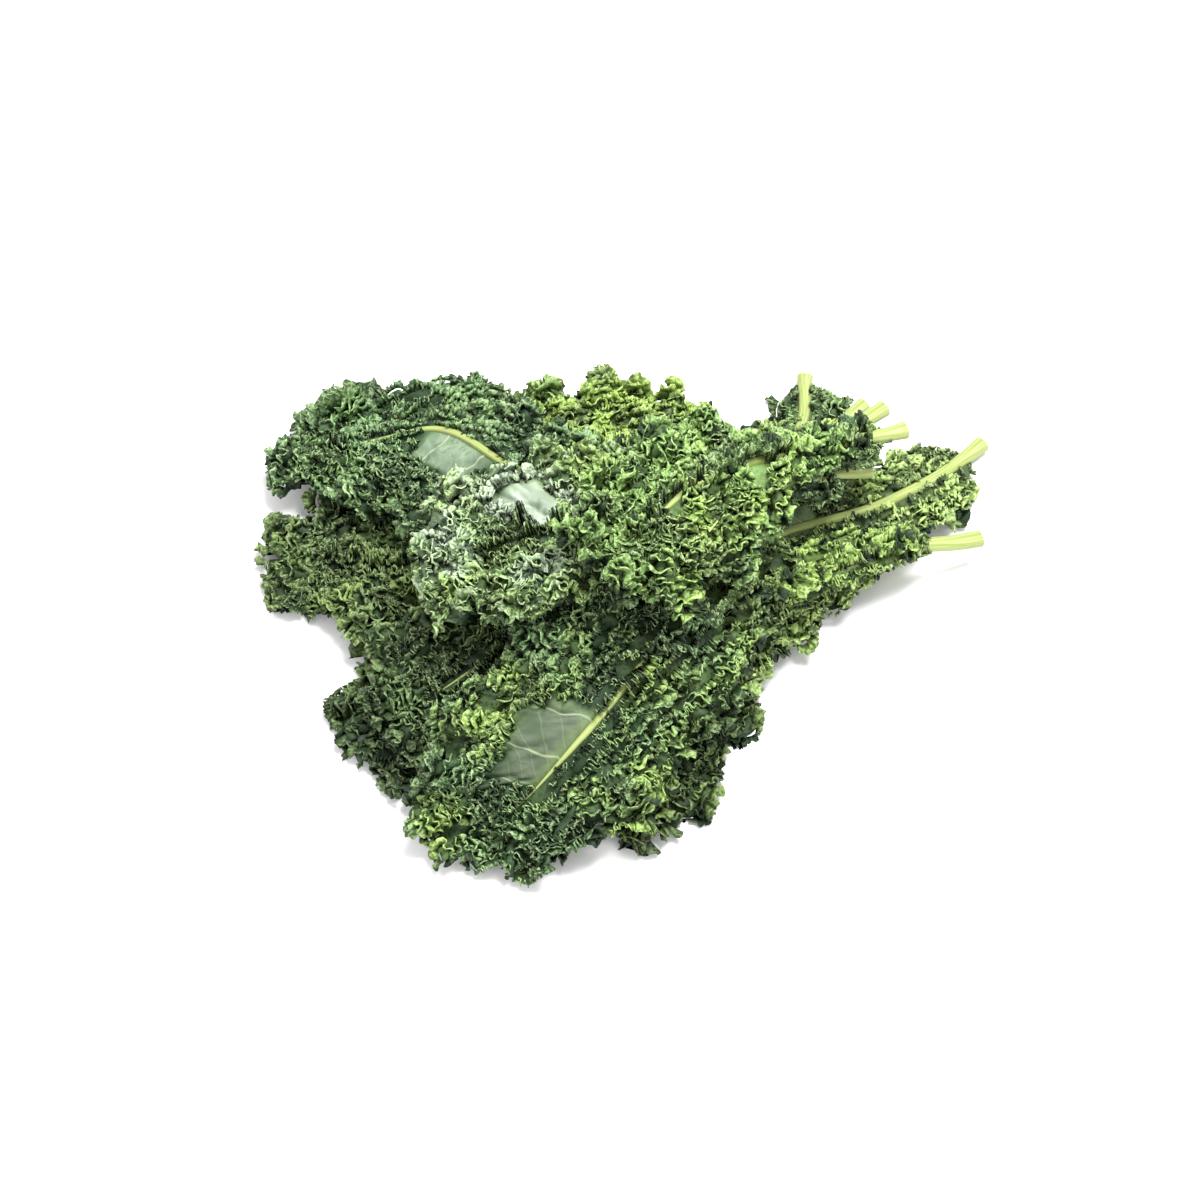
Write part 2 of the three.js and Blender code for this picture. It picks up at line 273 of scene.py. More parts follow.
@dataclass(frozen=True)
class LeafPlan:
    """One leaf of the bunch.

    midrib is the plan of its midrib, from the cut end. blade_from is the share of the midrib that
    is bare stalk, width is how wide the blade is on the left and on the right, wings are the shares
    of that which the blade's foot has, and smooth is the share that stays smooth beside the midrib.
    droop is in degrees, ruffles is the height of the margin's waves, and phase is where they start,
    as a share of a turn. rests_at is where it lies flat on the table. bare lists its parts without
    frills, trims where the margin's frills are longer or shorter, and rib_shows is the part of the
    midrib that no frill leans over.
    """

    name: str
    midrib: tuple[tuple[float, float], ...]
    blade_from: float
    width: tuple[float, float]
    wings: tuple[float, float]
    smooth: float
    droop: float
    ruffles: float
    phase: float
    rests_at: tuple[float, float] | None = None
    bare: tuple[Bare, ...] = ()
    trims: tuple[Trim, ...] = ()
    rib_shows: tuple[float, float] = (0.0, 0.2)


LEAVES = (
    LeafPlan(
        "leaf_01",
        midrib=((142, 44), (88, 30), (-36, -12), (-124, -60)),
        blade_from=0.2, width=(60, 60), wings=(0.24, 0.24), smooth=0.2,
        droop=4, ruffles=8, phase=0.1, rests_at=(-60, -62),
        trims=(Trim(Side.RIGHT, 0.6, 0.67, times=1.8),),
    ),
    LeafPlan(
        "leaf_02",
        midrib=((170, 50), (126, 34), (42, -14), (2, -96)),
        blade_from=0.08, width=(56, 56), wings=(0.16, 0.3), smooth=0.15,
        droop=4, ruffles=8, phase=0.55, rests_at=(56, -62),
        trims=(Trim(Side.LEFT, 0.05, 0.2, times=0.5), Trim(Side.LEFT, 0.74, 0.95, times=1.7)),
    ),
    LeafPlan(
        "leaf_03",
        midrib=((109, 173), (105, 136), (82, 104), (50, 92), (14, 112)),
        blade_from=0.04, width=(48, 48), wings=(0.6, 0.42), smooth=0.15,
        droop=4, ruffles=8, phase=0.3, rests_at=(16, 128), rib_shows=(0.0, 0.4),
        trims=(Trim(Side.RIGHT, 0.2, 0.6, times=0.4),),
    ),
    LeafPlan(
        "leaf_04",
        midrib=((160, 74), (88, 64), (-61, 36), (-171, 42)),
        blade_from=0.1, width=(62, 62), wings=(0.24, 0.24), smooth=0.2,
        droop=6, ruffles=8, phase=0.8,
        trims=(Trim(Side.LEFT, 0.54, 0.63, times=2.0), Trim(Side.LEFT, 0.7, 0.82, times=0.4)),
    ),
    LeafPlan(
        "leaf_05",
        midrib=((143, 144), (98, 106), (26, 100), (-42, 116)),
        blade_from=0.08, width=(56, 56), wings=(0.36, 0.24), smooth=0.15,
        droop=8, ruffles=9, phase=0.45,
        trims=(Trim(Side.RIGHT, 0.16, 0.36, times=0.35),),
    ),
    LeafPlan(
        "leaf_06",
        midrib=((136, 58), (85, 46), (-17, 1), (-104, -56)),
        blade_from=0.1, width=(58, 58), wings=(0.24, 0.24), smooth=0.25,
        droop=8, ruffles=9, phase=0.65,
    ),
    LeafPlan(
        "leaf_07",
        midrib=((213, 124), (150, 66), (82, 34), (46, -14)),
        blade_from=0.07, width=(54, 54), wings=(0.46, 0.5), smooth=0.2,
        droop=10, ruffles=9, phase=0.2, rib_shows=(0.0, 0.5),
        bare=(Bare(Side.RIGHT, 0.37, 0.46, level=0.3),),
        trims=(Trim(Side.LEFT, 0.2, 0.45, times=0.4),),
    ),
    LeafPlan(
        "leaf_08",
        midrib=((205, 48), (110, 16), (24, -42), (-20, -88), (-48, -115), (-64, -128)),
        blade_from=0.1, width=(52, 76), wings=(0.24, 0.2), smooth=0.4,
        droop=-6, ruffles=10, phase=0.05, rib_shows=(0.5, 1.0),
        bare=(Bare(Side.RIGHT, 0.57, 0.78, level=0.4, wrinkles=1.3),),
        trims=(
            Trim(Side.LEFT, 0.0, 0.18, times=0.4),
            Trim(Side.LEFT, 0.54, 0.68, times=1.8),
            Trim(Side.LEFT, 0.72, 0.95, times=0.4),
        ),
    ),
    LeafPlan(
        "leaf_09",
        midrib=((150, 117), (84, 64), (-16, 52), (-62, 72), (-112, 116), (-170, 114)),
        blade_from=0.06, width=(62, 48), wings=(0.24, 0.3), smooth=0.3,
        droop=16, ruffles=10, phase=0.5, rib_shows=(0.4, 0.85),
        bare=(Bare(Side.LEFT, 0.48, 0.64, level=0.42),),
        trims=(Trim(Side.RIGHT, 0.51, 0.62, times=0.4), Trim(Side.RIGHT, 0.67, 0.86, times=2.0)),
    ),
    LeafPlan(
        "leaf_10",
        midrib=((138, 62), (88, 52), (8, 30), (-80, 8)),
        blade_from=0.06, width=(60, 60), wings=(0.24, 0.24), smooth=0.35,
        droop=10, ruffles=11, phase=0.75, rib_shows=(0.0, 0.03),
        bare=(Bare(Side.RIGHT, 0.53, 0.65, level=0.72, wrinkles=2.6, glow=0.9),),
    ),
    LeafPlan(
        "leaf_11",
        midrib=((158, 83), (98, 61), (43, 32), (8, -4)),
        blade_from=0.06, width=(52, 52), wings=(0.24, 0.24), smooth=0.25,
        droop=8, ruffles=14, phase=0.35, rib_shows=(0.0, 0.03),
        bare=(Bare(Side.LEFT, 0.31, 0.37, level=0.45, wrinkles=1.5),),
        trims=(Trim(Side.RIGHT, 0.2, 0.36, times=0.4),),
    ),
)


class Midrib:
    """The plan of a midrib: a smooth curve through a few points, read by the distance along it."""

    STEPS = 200
    TENSION = 0.5
    NUDGE = 0.0001

    def __init__(self, points: tuple[tuple[float, float], ...]) -> None:
        """Measures the curve through the points."""
        inner = np.array(points, float)
        first = 2 * inner[0] - inner[1]
        last = 2 * inner[-1] - inner[-2]
        self.points = np.vstack([first, inner, last])
        places = self.at_turn(np.linspace(0.0, 1.0, self.STEPS + 1))
        self.lengths = lengths_along(places)
        self.length = float(self.lengths[-1])

    def at_turn(self, turn: np.ndarray) -> np.ndarray:
        """Returns the places at shares of the curve's own parameter."""
        spans = len(self.points) - 3
        span = np.minimum(np.floor(turn * spans).astype(int), spans - 1)
        weight = (turn * spans - span)[..., None]
        before, start, end, after = (self.points[span + k] for k in range(4))
        leave = self.TENSION * (end - before)
        arrive = self.TENSION * (after - start)
        square = -3 * start + 3 * end - 2 * leave - arrive
        cube = 2 * start - 2 * end + leave + arrive
        return start + leave * weight + square * weight**2 + cube * weight**3

    def turn_at(self, share: np.ndarray) -> np.ndarray:
        """Returns the curve's own parameter at shares of its length."""
        turns = np.linspace(0.0, 1.0, self.STEPS + 1)
        return np.interp(share * self.length, self.lengths, turns)

    def place(self, share: np.ndarray) -> np.ndarray:
        """Returns the places at shares of the length."""
        return self.at_turn(self.turn_at(share))

    def ahead(self, share: np.ndarray) -> np.ndarray:
        """Returns the directions at shares of the length."""
        turn = self.turn_at(share)
        back = np.clip(turn - self.NUDGE, 0.0, 1.0)
        front = np.clip(turn + self.NUDGE, 0.0, 1.0)
        return unit(self.at_turn(front) - self.at_turn(back))


class Pile:
    """The height of what lies on the table, in square cells."""

    def __init__(self) -> None:
        """Starts with a bare table."""
        self.size = [math.ceil(2 * half / PILE_CELL) for half in PILE_HALF]
        self.tops = np.full((self.size[1], self.size[0]), -LEAF_GAP)

    def cell(self, values: np.ndarray, axis: int) -> np.ndarray:
        """Returns the cell numbers of values along an axis."""
        index = np.floor((values + PILE_HALF[axis]) / PILE_CELL).astype(int)
        return np.clip(index, 0, self.size[axis] - 1)

    def top(self, places: np.ndarray) -> np.ndarray:
        """Returns the height of the pile at each place."""
        return self.tops[self.cell(places[..., 1], 1), self.cell(places[..., 0], 0)]

    def fill(self, places: np.ndarray, heights: np.ndarray) -> None:
        """Raises the pile to the heights round each place."""
        reach = round(PILE_SPREAD / PILE_CELL)
        column = self.cell(places[..., 0], 0)
        row = self.cell(places[..., 1], 1)
        for j in range(-reach, reach + 1):
            for i in range(-reach, reach + 1):
                if i * i + j * j <= reach * reach + 1:
                    np.maximum.at(self.tops, (row + j, column + i), heights)


class Cloth:
    """A sheet of values over a leaf, which can be made stiff and is read as a smooth surface."""

    def __init__(self, length: float, half_width: float) -> None:
        """Starts with no value known.

        Args:
            length: How far the sheet reaches along the midrib.
            half_width: How far it reaches to each side of it.
        """
        self.half = math.ceil(half_width / CLOTH_STEP[1]) + 1
        shape = (math.ceil(length / CLOTH_STEP[0]) + 1, 2 * self.half + 1)
        self.values = np.full(shape, -np.inf)

    def raise_to(self, along: np.ndarray, across: np.ndarray, values: np.ndarray) -> None:
        """Keeps the highest of the values that fall on each point of the sheet."""
        row = np.floor(along / CLOTH_STEP[0] + 0.5).astype(int)
        column = np.floor(across / CLOTH_STEP[1] + 0.5).astype(int) + self.half
        row = np.clip(row, 0, self.values.shape[0] - 1)
        column = np.clip(column, 0, self.values.shape[1] - 1)
        np.maximum.at(self.values, (row, column), values)

    def neighbours(self) -> np.ndarray:
        """Returns the values within the stiffness of each point, one layer for each of them."""
        rows, columns = CLOTH_STIFFNESS
        padded = np.pad(self.values, ((rows, rows), (columns, columns)), constant_values=-np.inf)
        height, width = self.values.shape
        return np.stack([
            padded[i:i + height, j:j + width]
            for i in range(2 * rows + 1)
            for j in range(2 * columns + 1)
        ])

    def average(self) -> None:
        """Replaces each value by the average of the known ones round it."""
        layers = self.neighbours()
        known = np.isfinite(layers)
        count = known.sum(axis=0)
        total = np.where(known, layers, 0.0).sum(axis=0)
        self.values = np.where(count > 0, total / np.maximum(count, 1), -np.inf)

    def stiffen(self) -> None:
        """Spreads each lift over its neighbourhood, evens it out, and fills what is off the leaf."""
        self.values = self.neighbours().max(axis=0)
        self.average()
        self.average()
        while not np.isfinite(self.values).all():
            known = self.values.copy()
            self.average()
            self.values = np.where(np.isfinite(known), known, self.values)

    @staticmethod
    def weights(share: np.ndarray) -> tuple[np.ndarray, ...]:
        """Returns the four weights of a cubic B-spline at a share of a step."""
        return (
            (1 - share) ** 3 / 6,
            (3 * share**3 - 6 * share**2 + 4) / 6,
            (-3 * share**3 + 3 * share**2 + 3 * share + 1) / 6,
            share**3 / 6,
        )

    def at(self, along: np.ndarray, across: np.ndarray) -> np.ndarray:
        """Returns the value at each point of the leaf."""
        u = np.clip(along / CLOTH_STEP[0], 0, self.values.shape[0] - 1)
        v = np.clip(across / CLOTH_STEP[1] + self.half, 0, self.values.shape[1] - 1)
        low_u, low_v = np.floor(u).astype(int), np.floor(v).astype(int)
        total = np.zeros(np.broadcast(u, v).shape)
        for k, weight_u in enumerate(self.weights(u - low_u)):
            row = np.clip(low_u + k - 1, 0, self.values.shape[0] - 1)
            for m, weight_v in enumerate(self.weights(v - low_v)):
                column = np.clip(low_v + m - 1, 0, self.values.shape[1] - 1)
                total += weight_u * weight_v * self.values[row, column]
        return total


class Half:
    """One half of a blade's margin, measured from the base of the blade to its tip."""

    def __init__(self, leaf: "Leaf", side: Side) -> None:
        """Measures the margin of a leaf on one side, from the blade's base to its tip."""
        self.side = side
        self.shares = np.linspace(0.0, 1.0, MARGIN_STEPS + 1)
        along, across = leaf.flat(self.shares, 1.0, side)
        steps = np.hypot(np.diff(along), np.diff(across))
        self.lengths = np.concatenate([[0.0], np.cumsum(steps)])
        self.total = float(self.lengths[-1])

    def share(self, distance: np.ndarray) -> np.ndarray:
        """Returns the share of the margin's steps at distances along it."""
        return np.interp(distance, self.lengths, self.shares)


class Leaf:
    """One leaf: its flat outline, and then the place that it takes on the pile."""

    def __init__(self, plan: LeafPlan, pile: Pile) -> None:
        """Draws the leaf flat, and lays it on the pile."""
        self.plan = plan
        self.midrib = Midrib(plan.midrib)
        self.length = self.midrib.length
        self.blade_start = plan.blade_from * self.length
        self.widest = max(plan.width)
        self.droop_slope = math.tan(math.radians(plan.droop))
        self.halves = tuple(Half(self, side) for side in Side)
        self.cloth = Cloth(self.length + self.widest, self.widest * (1 + LOBE_DEPTH))
        self.settle(pile)

    def reach(self, share: np.ndarray, side: Side) -> np.ndarray:
        """Returns the width of the blade beside the midrib at shares of its margin."""
        which = 0 if side is Side.LEFT else 1
        foot = smoothstep(share, *FOOT)
        body = lerp(self.plan.wings[which], 1.0, smoothstep(share, *BODY))
        tip = lerp(1.0, TIP_REACH, smoothstep(share, *TIP))
        turn = 2 * math.pi * (LOBES * share + self.plan.phase + LOBE_TURN * side)
        lobes = 1 + LOBE_DEPTH * np.cos(turn) * (1 - smoothstep(share, *LOBES_END))
        return self.plan.width[which] * foot * body * tip * lobes

    def stalk_radius(self, along: np.ndarray) -> np.ndarray:
        """Returns the radius of the stalk and midrib at distances along it."""
        cut, start, end = STALK_RADII
        lower = lerp(cut, start, along / self.blade_start)
        share = np.clip((along - self.blade_start) / (self.length - self.blade_start), 0, 1)
        return np.where(along < self.blade_start, lower, lerp(start, end, share**MIDRIB_POWER))

    def flat(self, share: np.ndarray, level: np.ndarray, side: Side) -> tuple[np.ndarray, np.ndarray]:
        """Returns the flat places of points of the blade.

        Args:
            share: The share of the margin that each point's side vein leads to.
            level: 0 beside the midrib, 1 at the margin, and CENTRE_LEVEL in the midrib's middle.
            side: The side of the midrib that they are on.

        Returns:
            The distances along the midrib and to the left of it.
        """
        end = self.length + SLOT_PAST_END
        root = end - (end - self.blade_start) * (1 - share) ** ROOT_POWER
        slot = self.stalk_radius(root) + STALK_GAP
        rounding = np.sqrt(np.clip((end - root) / slot, 0, 1))
        rounding = rounding * np.clip(1 - level / CENTRE_LEVEL, 0, 1)
        angle = BASE_ANGLE * (1 - share**ANGLE_POWER)
        out = np.maximum(LEAST_REACH, self.reach(share, side) - slot) * np.maximum(level, 0.0)
        return root + out * np.cos(angle), side * (slot * rounding + out * np.sin(angle))

    def ruffle(self, share: np.ndarray, level: np.ndarray, side: Side) -> np.ndarray:
        """Returns how high the margin's waves stand at shares of the margin and levels."""
        room = smoothstep(self.reach(share, side), *RUFFLE_ROOM)
        return self.plan.ruffles * room * smoothstep(level, self.plan.smooth, 1.0)

    def wave(self, half: Half, distance: np.ndarray) -> np.ndarray:
        """Returns the margin's wave at distances along it, between -1 and 1."""
        turn = distance / RUFFLE_LENGTH + self.plan.phase
        swell = np.sin(2 * math.pi * distance / (SWELL_LENGTH * RUFFLE_LENGTH))
        return half.side * (1 - SWELL + SWELL * swell) * np.sin(2 * math.pi * turn)

    def place(self, along: np.ndarray, across: np.ndarray) -> np.ndarray:
        """Returns the places on the table under flat points of the leaf."""
        share = np.clip(along / self.length, 0.0, 1.0)
        ahead = self.midrib.ahead(share)
        left = np.stack([-ahead[..., 1], ahead[..., 0]], axis=-1)
        past = (along - share * self.length)[..., None]
        return self.midrib.place(share) + ahead * past + left * across[..., None]

    def hang(self, across: np.ndarray) -> np.ndarray:
        """Returns how the blade hangs down to each side of the midrib."""
        return -self.droop_slope * np.abs(across)

    def feelers(self, step: float) -> tuple[np.ndarray, np.ndarray, np.ndarray]:
        """Returns places where the leaf can touch another: along, across, and the room needed."""
        along = np.arange(0.0, self.length + 1e-9, step)
        parts = [(along, np.zeros_like(along), self.stalk_radius(along))]
        for half in self.halves:
            columns = math.ceil(half.total / step)
            rows = math.ceil(self.widest / step)
            share = half.share(half.total * np.arange(columns + 1) / columns)[:, None]
            level = (np.arange(rows + 1) / rows)[None, :]
            a, b = self.flat(share, level, half.side)
            room = self.ruffle(share, level, half.side) + BLADE_THICKNESS / 2
            parts.append((a.ravel(), b.ravel(), room.ravel()))
        return tuple(np.concatenate(rows) for rows in zip(*parts))

    def settle(self, pile: Pile) -> None:
        """Lays the leaf on the pile, and adds it to the pile."""
        along, across, room = self.feelers(LIFT_STEP)
        below = pile.top(self.place(along, across))
        press = np.where((below < 0) & (across != 0), TABLE_PRESS, 0.0)
        need = below + LEAF_GAP + room - press - self.hang(across)
        self.cloth.raise_to(along, across, need)
        self.cloth.stiffen()
        along, across, room = self.feelers(FILL_STEP)
        height = np.where(across == 0, self.rib_height(along), self.height(along, across))
        pile.fill(self.place(along, across), height + room)

    def height(self, along: np.ndarray, across: np.ndarray) -> np.ndarray:
        """Returns the height of the leaf's middle surface, without its waves."""
        return self.hang(across) + self.cloth.at(along, across)

    def rib_height(self, along: np.ndarray) -> np.ndarray:
        """Returns the height of the middle of the stalk."""
        return np.maximum(self.height(along, np.zeros_like(along)), self.stalk_radius(along))

    def sheet(self, half: Half, distance: np.ndarray, level: np.ndarray) -> np.ndarray:
        """Returns points of the blade's middle surface, with the margin's waves.

        The waves are lower than the solid's, because the frills that stand on them reach higher.
        """
        share = half.share(distance)
        along, across = self.flat(share, level, half.side)
        place = self.place(along, across)
        height = self.height(along, across)
        height = height + SHEET_WAVES * self.ruffle(share, level, half.side) * self.wave(half, distance)
        low = BLADE_THICKNESS / 2
        if self.plan.rests_at:
            away = np.linalg.norm(place - np.array(self.plan.rests_at), axis=-1)
            height = lerp(low, height, smoothstep(away, REST_RADIUS, REST_FADE))
        return np.concatenate([place, np.maximum(height, low)[..., None]], axis=-1)


class Cover:
    """What lies over each place of the bunch: how low it comes down there."""

    def __init__(self) -> None:
        """Starts with nothing over the table."""
        self.grid = Pile()
        self.lowest = np.full(self.grid.tops.shape, np.inf)
        self.deep = np.zeros(self.lowest.shape, bool)

    def cells(self, places: np.ndarray) -> tuple[np.ndarray, np.ndarray]:
        """Returns the rows and columns of the cells that hold places."""
        return self.grid.cell(places[..., 1], 1), self.grid.cell(places[..., 0], 0)

    def add(self, points: np.ndarray) -> None:
        """Puts a leaf over what the later ones lie on.

        Args:
            points: Points of its sheet, closer together than a cell.
        """
        row, column = self.cells(points)
        for j in (-1, 0, 1):
            for i in (-1, 0, 1):
                np.minimum.at(self.lowest, (row + j, column + i), points[..., 2])
        inside = np.isfinite(self.lowest)
        for _ in range(COVER_DEPTH):
            inside = inside & np.roll(inside, 1, 0) & np.roll(inside, -1, 0)
            inside = inside & np.roll(inside, 1, 1) & np.roll(inside, -1, 1)
        self.deep = inside

    def gap(self, points: np.ndarray) -> np.ndarray:
        """Returns how much room there is over each point."""
        return self.lowest[self.cells(points)] - points[..., 2]

    def hides(self, points: np.ndarray) -> np.ndarray:
        """Returns which points lie deep under the leaves above them."""
        return self.deep[self.cells(points)]


@dataclass(frozen=True)
class Frill:
    """One row of small curls along a blade.

    level is where the frill grows, height is how far it stands out in millimetres, and lean is its
    angle in degrees from the blade, outwards. steps are the shares of its height that it is shaped
    at: a frill with two of them is a simple wedge.
    """

    level: float
    height: float
    lean: float
    steps: tuple[float, ...] = (0.0, 1.0)


@dataclass
class Patch:
    """Rings or rows of points with what the finish needs to know at each of them.

    A closed patch has a ring of points at each place along it. An open one has a row.
    """

    points: np.ndarray
    level: np.ndarray
    edge: np.ndarray
    share: np.ndarray
    rise: np.ndarray
    bloom: np.ndarray
    closed: bool = True

    def find(self, straight: np.ndarray) -> tuple[np.ndarray, np.ndarray]:
        """Returns the row and column of each point of the patch's straight mesh."""
        length, width = self.level.shape
        x, y, z = straight.T
        if self.closed:
            row = np.rint((z + 1) / 2 * (length - 1)).astype(int)
            return row, np.rint(np.arctan2(x, y) / (2 * math.pi) * width).astype(int) % width
        row = np.rint((y + 1) / 2 * (length - 1)).astype(int)
        return row, np.rint((x + 1) / 2 * (width - 1)).astype(int)


@dataclass(frozen=True)
class Pace:
    """How waves follow one another along a line.

    length is a wave's length in millimetres, uneven the share by which it varies, and drift about
    how far it goes from one length to the next.
    """

    length: float
    uneven: float
    drift: float

    def turns(self, line: np.ndarray, distance: np.ndarray, seed: int) -> np.ndarray:
        """Returns how many waves there are up to each point of a line.

        Args:
            line: The points.
            distance: How far along the margin each of them is.
            seed: Which drift the waves follow.
        """
        steps = np.linalg.norm(np.diff(line, axis=0), axis=1)
        rate = 1 + self.uneven * Drift(seed, distance[-1], self.drift).at(distance[1:])
        return np.concatenate([[0.0], np.cumsum(steps * rate / self.length)])


class Blade:
    """The green blade of one leaf: a sheet with side veins, and rows of curled frills on it."""

    # The sheet's mesh, which is finer on a half that lies bare somewhere.
    THICKNESS = 0.6
    SHEET_LEVELS = (CENTRE_LEVEL, 0.0, 0.1, 0.2, 0.3, 0.4, 0.5, 0.6, 0.7, 0.8, 0.9)
    FINE_LEVEL = 0.022
    FINE_UP_TO = 0.5
    COLUMNS_EACH_MM = 0.35
    FINE_COLUMNS_EACH_MM = 0.65
    MEASURED_PLACES = 1200
    FEEL_ALONG = 0.6
    FEEL_OUT = 0.04

    # The sheet's bulges, in rows along the margin and in rings beside the midrib.
    LUMPS = Pace(27.0, 0.3, 40.0)
    LUMP_WIDTH = 26.0
    LUMP_HEIGHT = 12.0
    LUMP_ZERO = 0.8
    LUMPS_SET_IN = (0.0, 0.35)
    LUMP_ROOM = (6.0, 40.0)
    LEAST_LUMP = 0.3
    BETWEEN_RINGS = 0.35
    ROW_BEND = 0.9
    ROW_SLANT = 0.4
    RING_BEND = 0.7
    RING_PACE = 2.3
    RING_START = 0.9

    # Tufts, where the frills stand higher, and funnels, where the sheet shows between them.
    TUFT = 13.0
    FUNNEL = 24.0
    FUNNEL_SETS_IN = (1.35, 1.65)
    FUNNEL_DEPTH = 3.0
    FUNNEL_BLOOM = 0.4
    COVER_ROOM = 3.0

    # The quilting of a bare part: dips along the side veins, and swells between them, each given
    # by its height and by how many of them there are outwards and from vein to vein.
    DIP = 1.3
    DIP_WIDTH = 0.09
    SWELLS = ((1.6, 2.1, 1.7), (1.1, 4.3, -2.3), (0.7, 7.9, 3.1))
    QUILT_SETS_IN = (0.0, 0.15)

    # The rows of frills, from the margin inwards.
    CURLS = Pace(3.4, 0.35, 9.0)
    CURLS_FIT_LEVEL = 0.75
    MARGIN_LEVEL = 0.91
    ROW_SPACING = 4.0
    HALFWAY = (0.0, 0.5, 1.0)
    INNER_HEIGHT = 5.4
    INNER_LEANS = (66.0, 84.0)

    # What the leaf looks like to the leaves under it.
    COVER_LEVELS = (0.0, 0.9, 28)
    COVER_STEP = 2.0

    def __init__(self, leaf: Leaf, number: int, cover: Cover) -> None:
        """Plans the blade's bulges and curls.

        Args:
            leaf: The leaf that it belongs to.
            number: Which leaf this is, which seeds the curls.
            cover: What lies on the leaf.
        """
        self.leaf = leaf
        self.plan = leaf.plan
        self.number = number
        self.cover = cover
        # Each leaf's fields and drifts have seeds of their own.
        self.tufts = Field(31 * number + 5, self.TUFT)
        self.funnels = Field(31 * number + 6, self.FUNNEL)
        self.lump_turns = [self.measure_lumps(half) for half in leaf.halves]
        self.curl_turns = [self.measure_curls(which) for which in (0, 1)]

    def measure_lumps(self, half: Half) -> tuple[np.ndarray, np.ndarray]:
        """Returns distances along a margin, and how many lumps there are up to each of them."""
        distance = np.linspace(0.0, half.total, self.MEASURED_PLACES)
        edge = self.leaf.sheet(half, distance, np.ones_like(distance))
        return distance, self.LUMPS.turns(edge, distance, 100 * self.number + half.side + 7)

    def measure_curls(self, which: int) -> tuple[np.ndarray, np.ndarray]:
        """Returns distances along a margin, and the turn of the frills' curls at each of them."""
        distance = np.linspace(0.0, self.leaf.halves[which].total, self.MEASURED_PLACES)
        line = self.surface(which, distance, np.full_like(distance, self.CURLS_FIT_LEVEL))
        turns = self.CURLS.turns(line, distance, 100 * self.number + which + 17)
        return distance, 2 * math.pi * turns

    def bumps(self, which: int, distance: np.ndarray, level: np.ndarray) -> np.ndarray:
        """Returns how high the sheet bulges at each point: 0 in a crease, 1 on a dome.

        Bulges stand in rows along the margin and in rings beside the midrib, and each of the two
        waves bends the other, so that no crease runs straight.
        """
        half = self.leaf.halves[which]
        reach = self.leaf.reach(half.share(distance), half.side)
        turns = math.pi * np.interp(distance, *self.lump_turns[which])
        rings = math.pi * level * reach / self.LUMP_WIDTH
        row = np.abs(np.sin(turns + self.ROW_BEND * np.sin(2 * rings + self.ROW_SLANT * turns)))
        bend = self.RING_BEND * np.sin(self.RING_PACE * turns)
        ring = np.abs(np.sin(rings + bend + self.RING_START))
        return np.sqrt(row * (self.BETWEEN_RINGS + (1 - self.BETWEEN_RINGS) * ring))

    def funnel(self, points: np.ndarray) -> np.ndarray:
        """Returns how surely each point lies in a smooth funnel between the tufts."""
        return smoothstep(self.funnels.at(points), *self.FUNNEL_SETS_IN)

    def surface(self, which: int, distance: np.ndarray, level: np.ndarray) -> np.ndarray:
        """Returns points of the sheet with its waves and bulges.

        Args:
            which: The half of the blade, 0 or 1.
            distance: The distances along its margin.
            level: 0 beside the midrib, 1 at the margin.
        """
        half = self.leaf.halves[which]
        base = self.leaf.sheet(half, distance, level)
        along = self.leaf.sheet(half, np.clip(distance + self.FEEL_ALONG, 0, half.total), level)
        along = along - self.leaf.sheet(half, np.clip(distance - self.FEEL_ALONG, 0, half.total), level)
        out = self.leaf.sheet(half, distance, np.maximum(level, 0.0) + self.FEEL_OUT)
        out = out - self.leaf.sheet(half, distance, np.maximum(level, 0.0))
        normal = unit(np.cross(unit(along), unit(out))) * half.side
        share = half.share(distance)
        room = smoothstep(self.leaf.reach(share, half.side), *self.LUMP_ROOM)
        rise = smoothstep(level, *self.LUMPS_SET_IN) * (self.LEAST_LUMP + (1 - self.LEAST_LUMP) * room)
        wrinkles = np.zeros(np.broadcast(share, level).shape)
        for bare in self.plan.bare:
            inside = bare.covers(half.side, share, level)
            rise = rise * (1 - inside)
            wrinkles = wrinkles + inside * bare.wrinkles
        lift = self.LUMP_HEIGHT * rise * (self.bumps(which, distance, level) - self.LUMP_ZERO)
        lift = lift - self.FUNNEL_DEPTH * rise * self.funnel(base)
        lift = lift + wrinkles * self.quilt(share, level)
        lift = np.minimum(lift, np.maximum(self.cover.gap(base) - self.COVER_ROOM, -self.COVER_ROOM))
        points = base + normal * lift[..., None]
        points[..., 2] = np.maximum(points[..., 2], self.THICKNESS / 2)
        return points

    def quilt(self, share: np.ndarray, level: np.ndarray) -> np.ndarray:
        """Returns how the bare blade dips along its side veins and bulges between them."""
        turn = share * SIDE_VEINS - np.floor(share * SIDE_VEINS) - 0.5
        dip = -self.DIP * np.exp(-((turn / self.DIP_WIDTH) ** 2)) * (1 - 0.5 * level)
        swell = np.zeros(np.broadcast(share, level).shape)
        for height, out, along in self.SWELLS:
            swell = swell + height * np.sin(2 * math.pi * (level * out + along * share * SIDE_VEINS))
        return (dip + swell * (0.5 - np.abs(turn))) * smoothstep(level, *self.QUILT_SETS_IN)

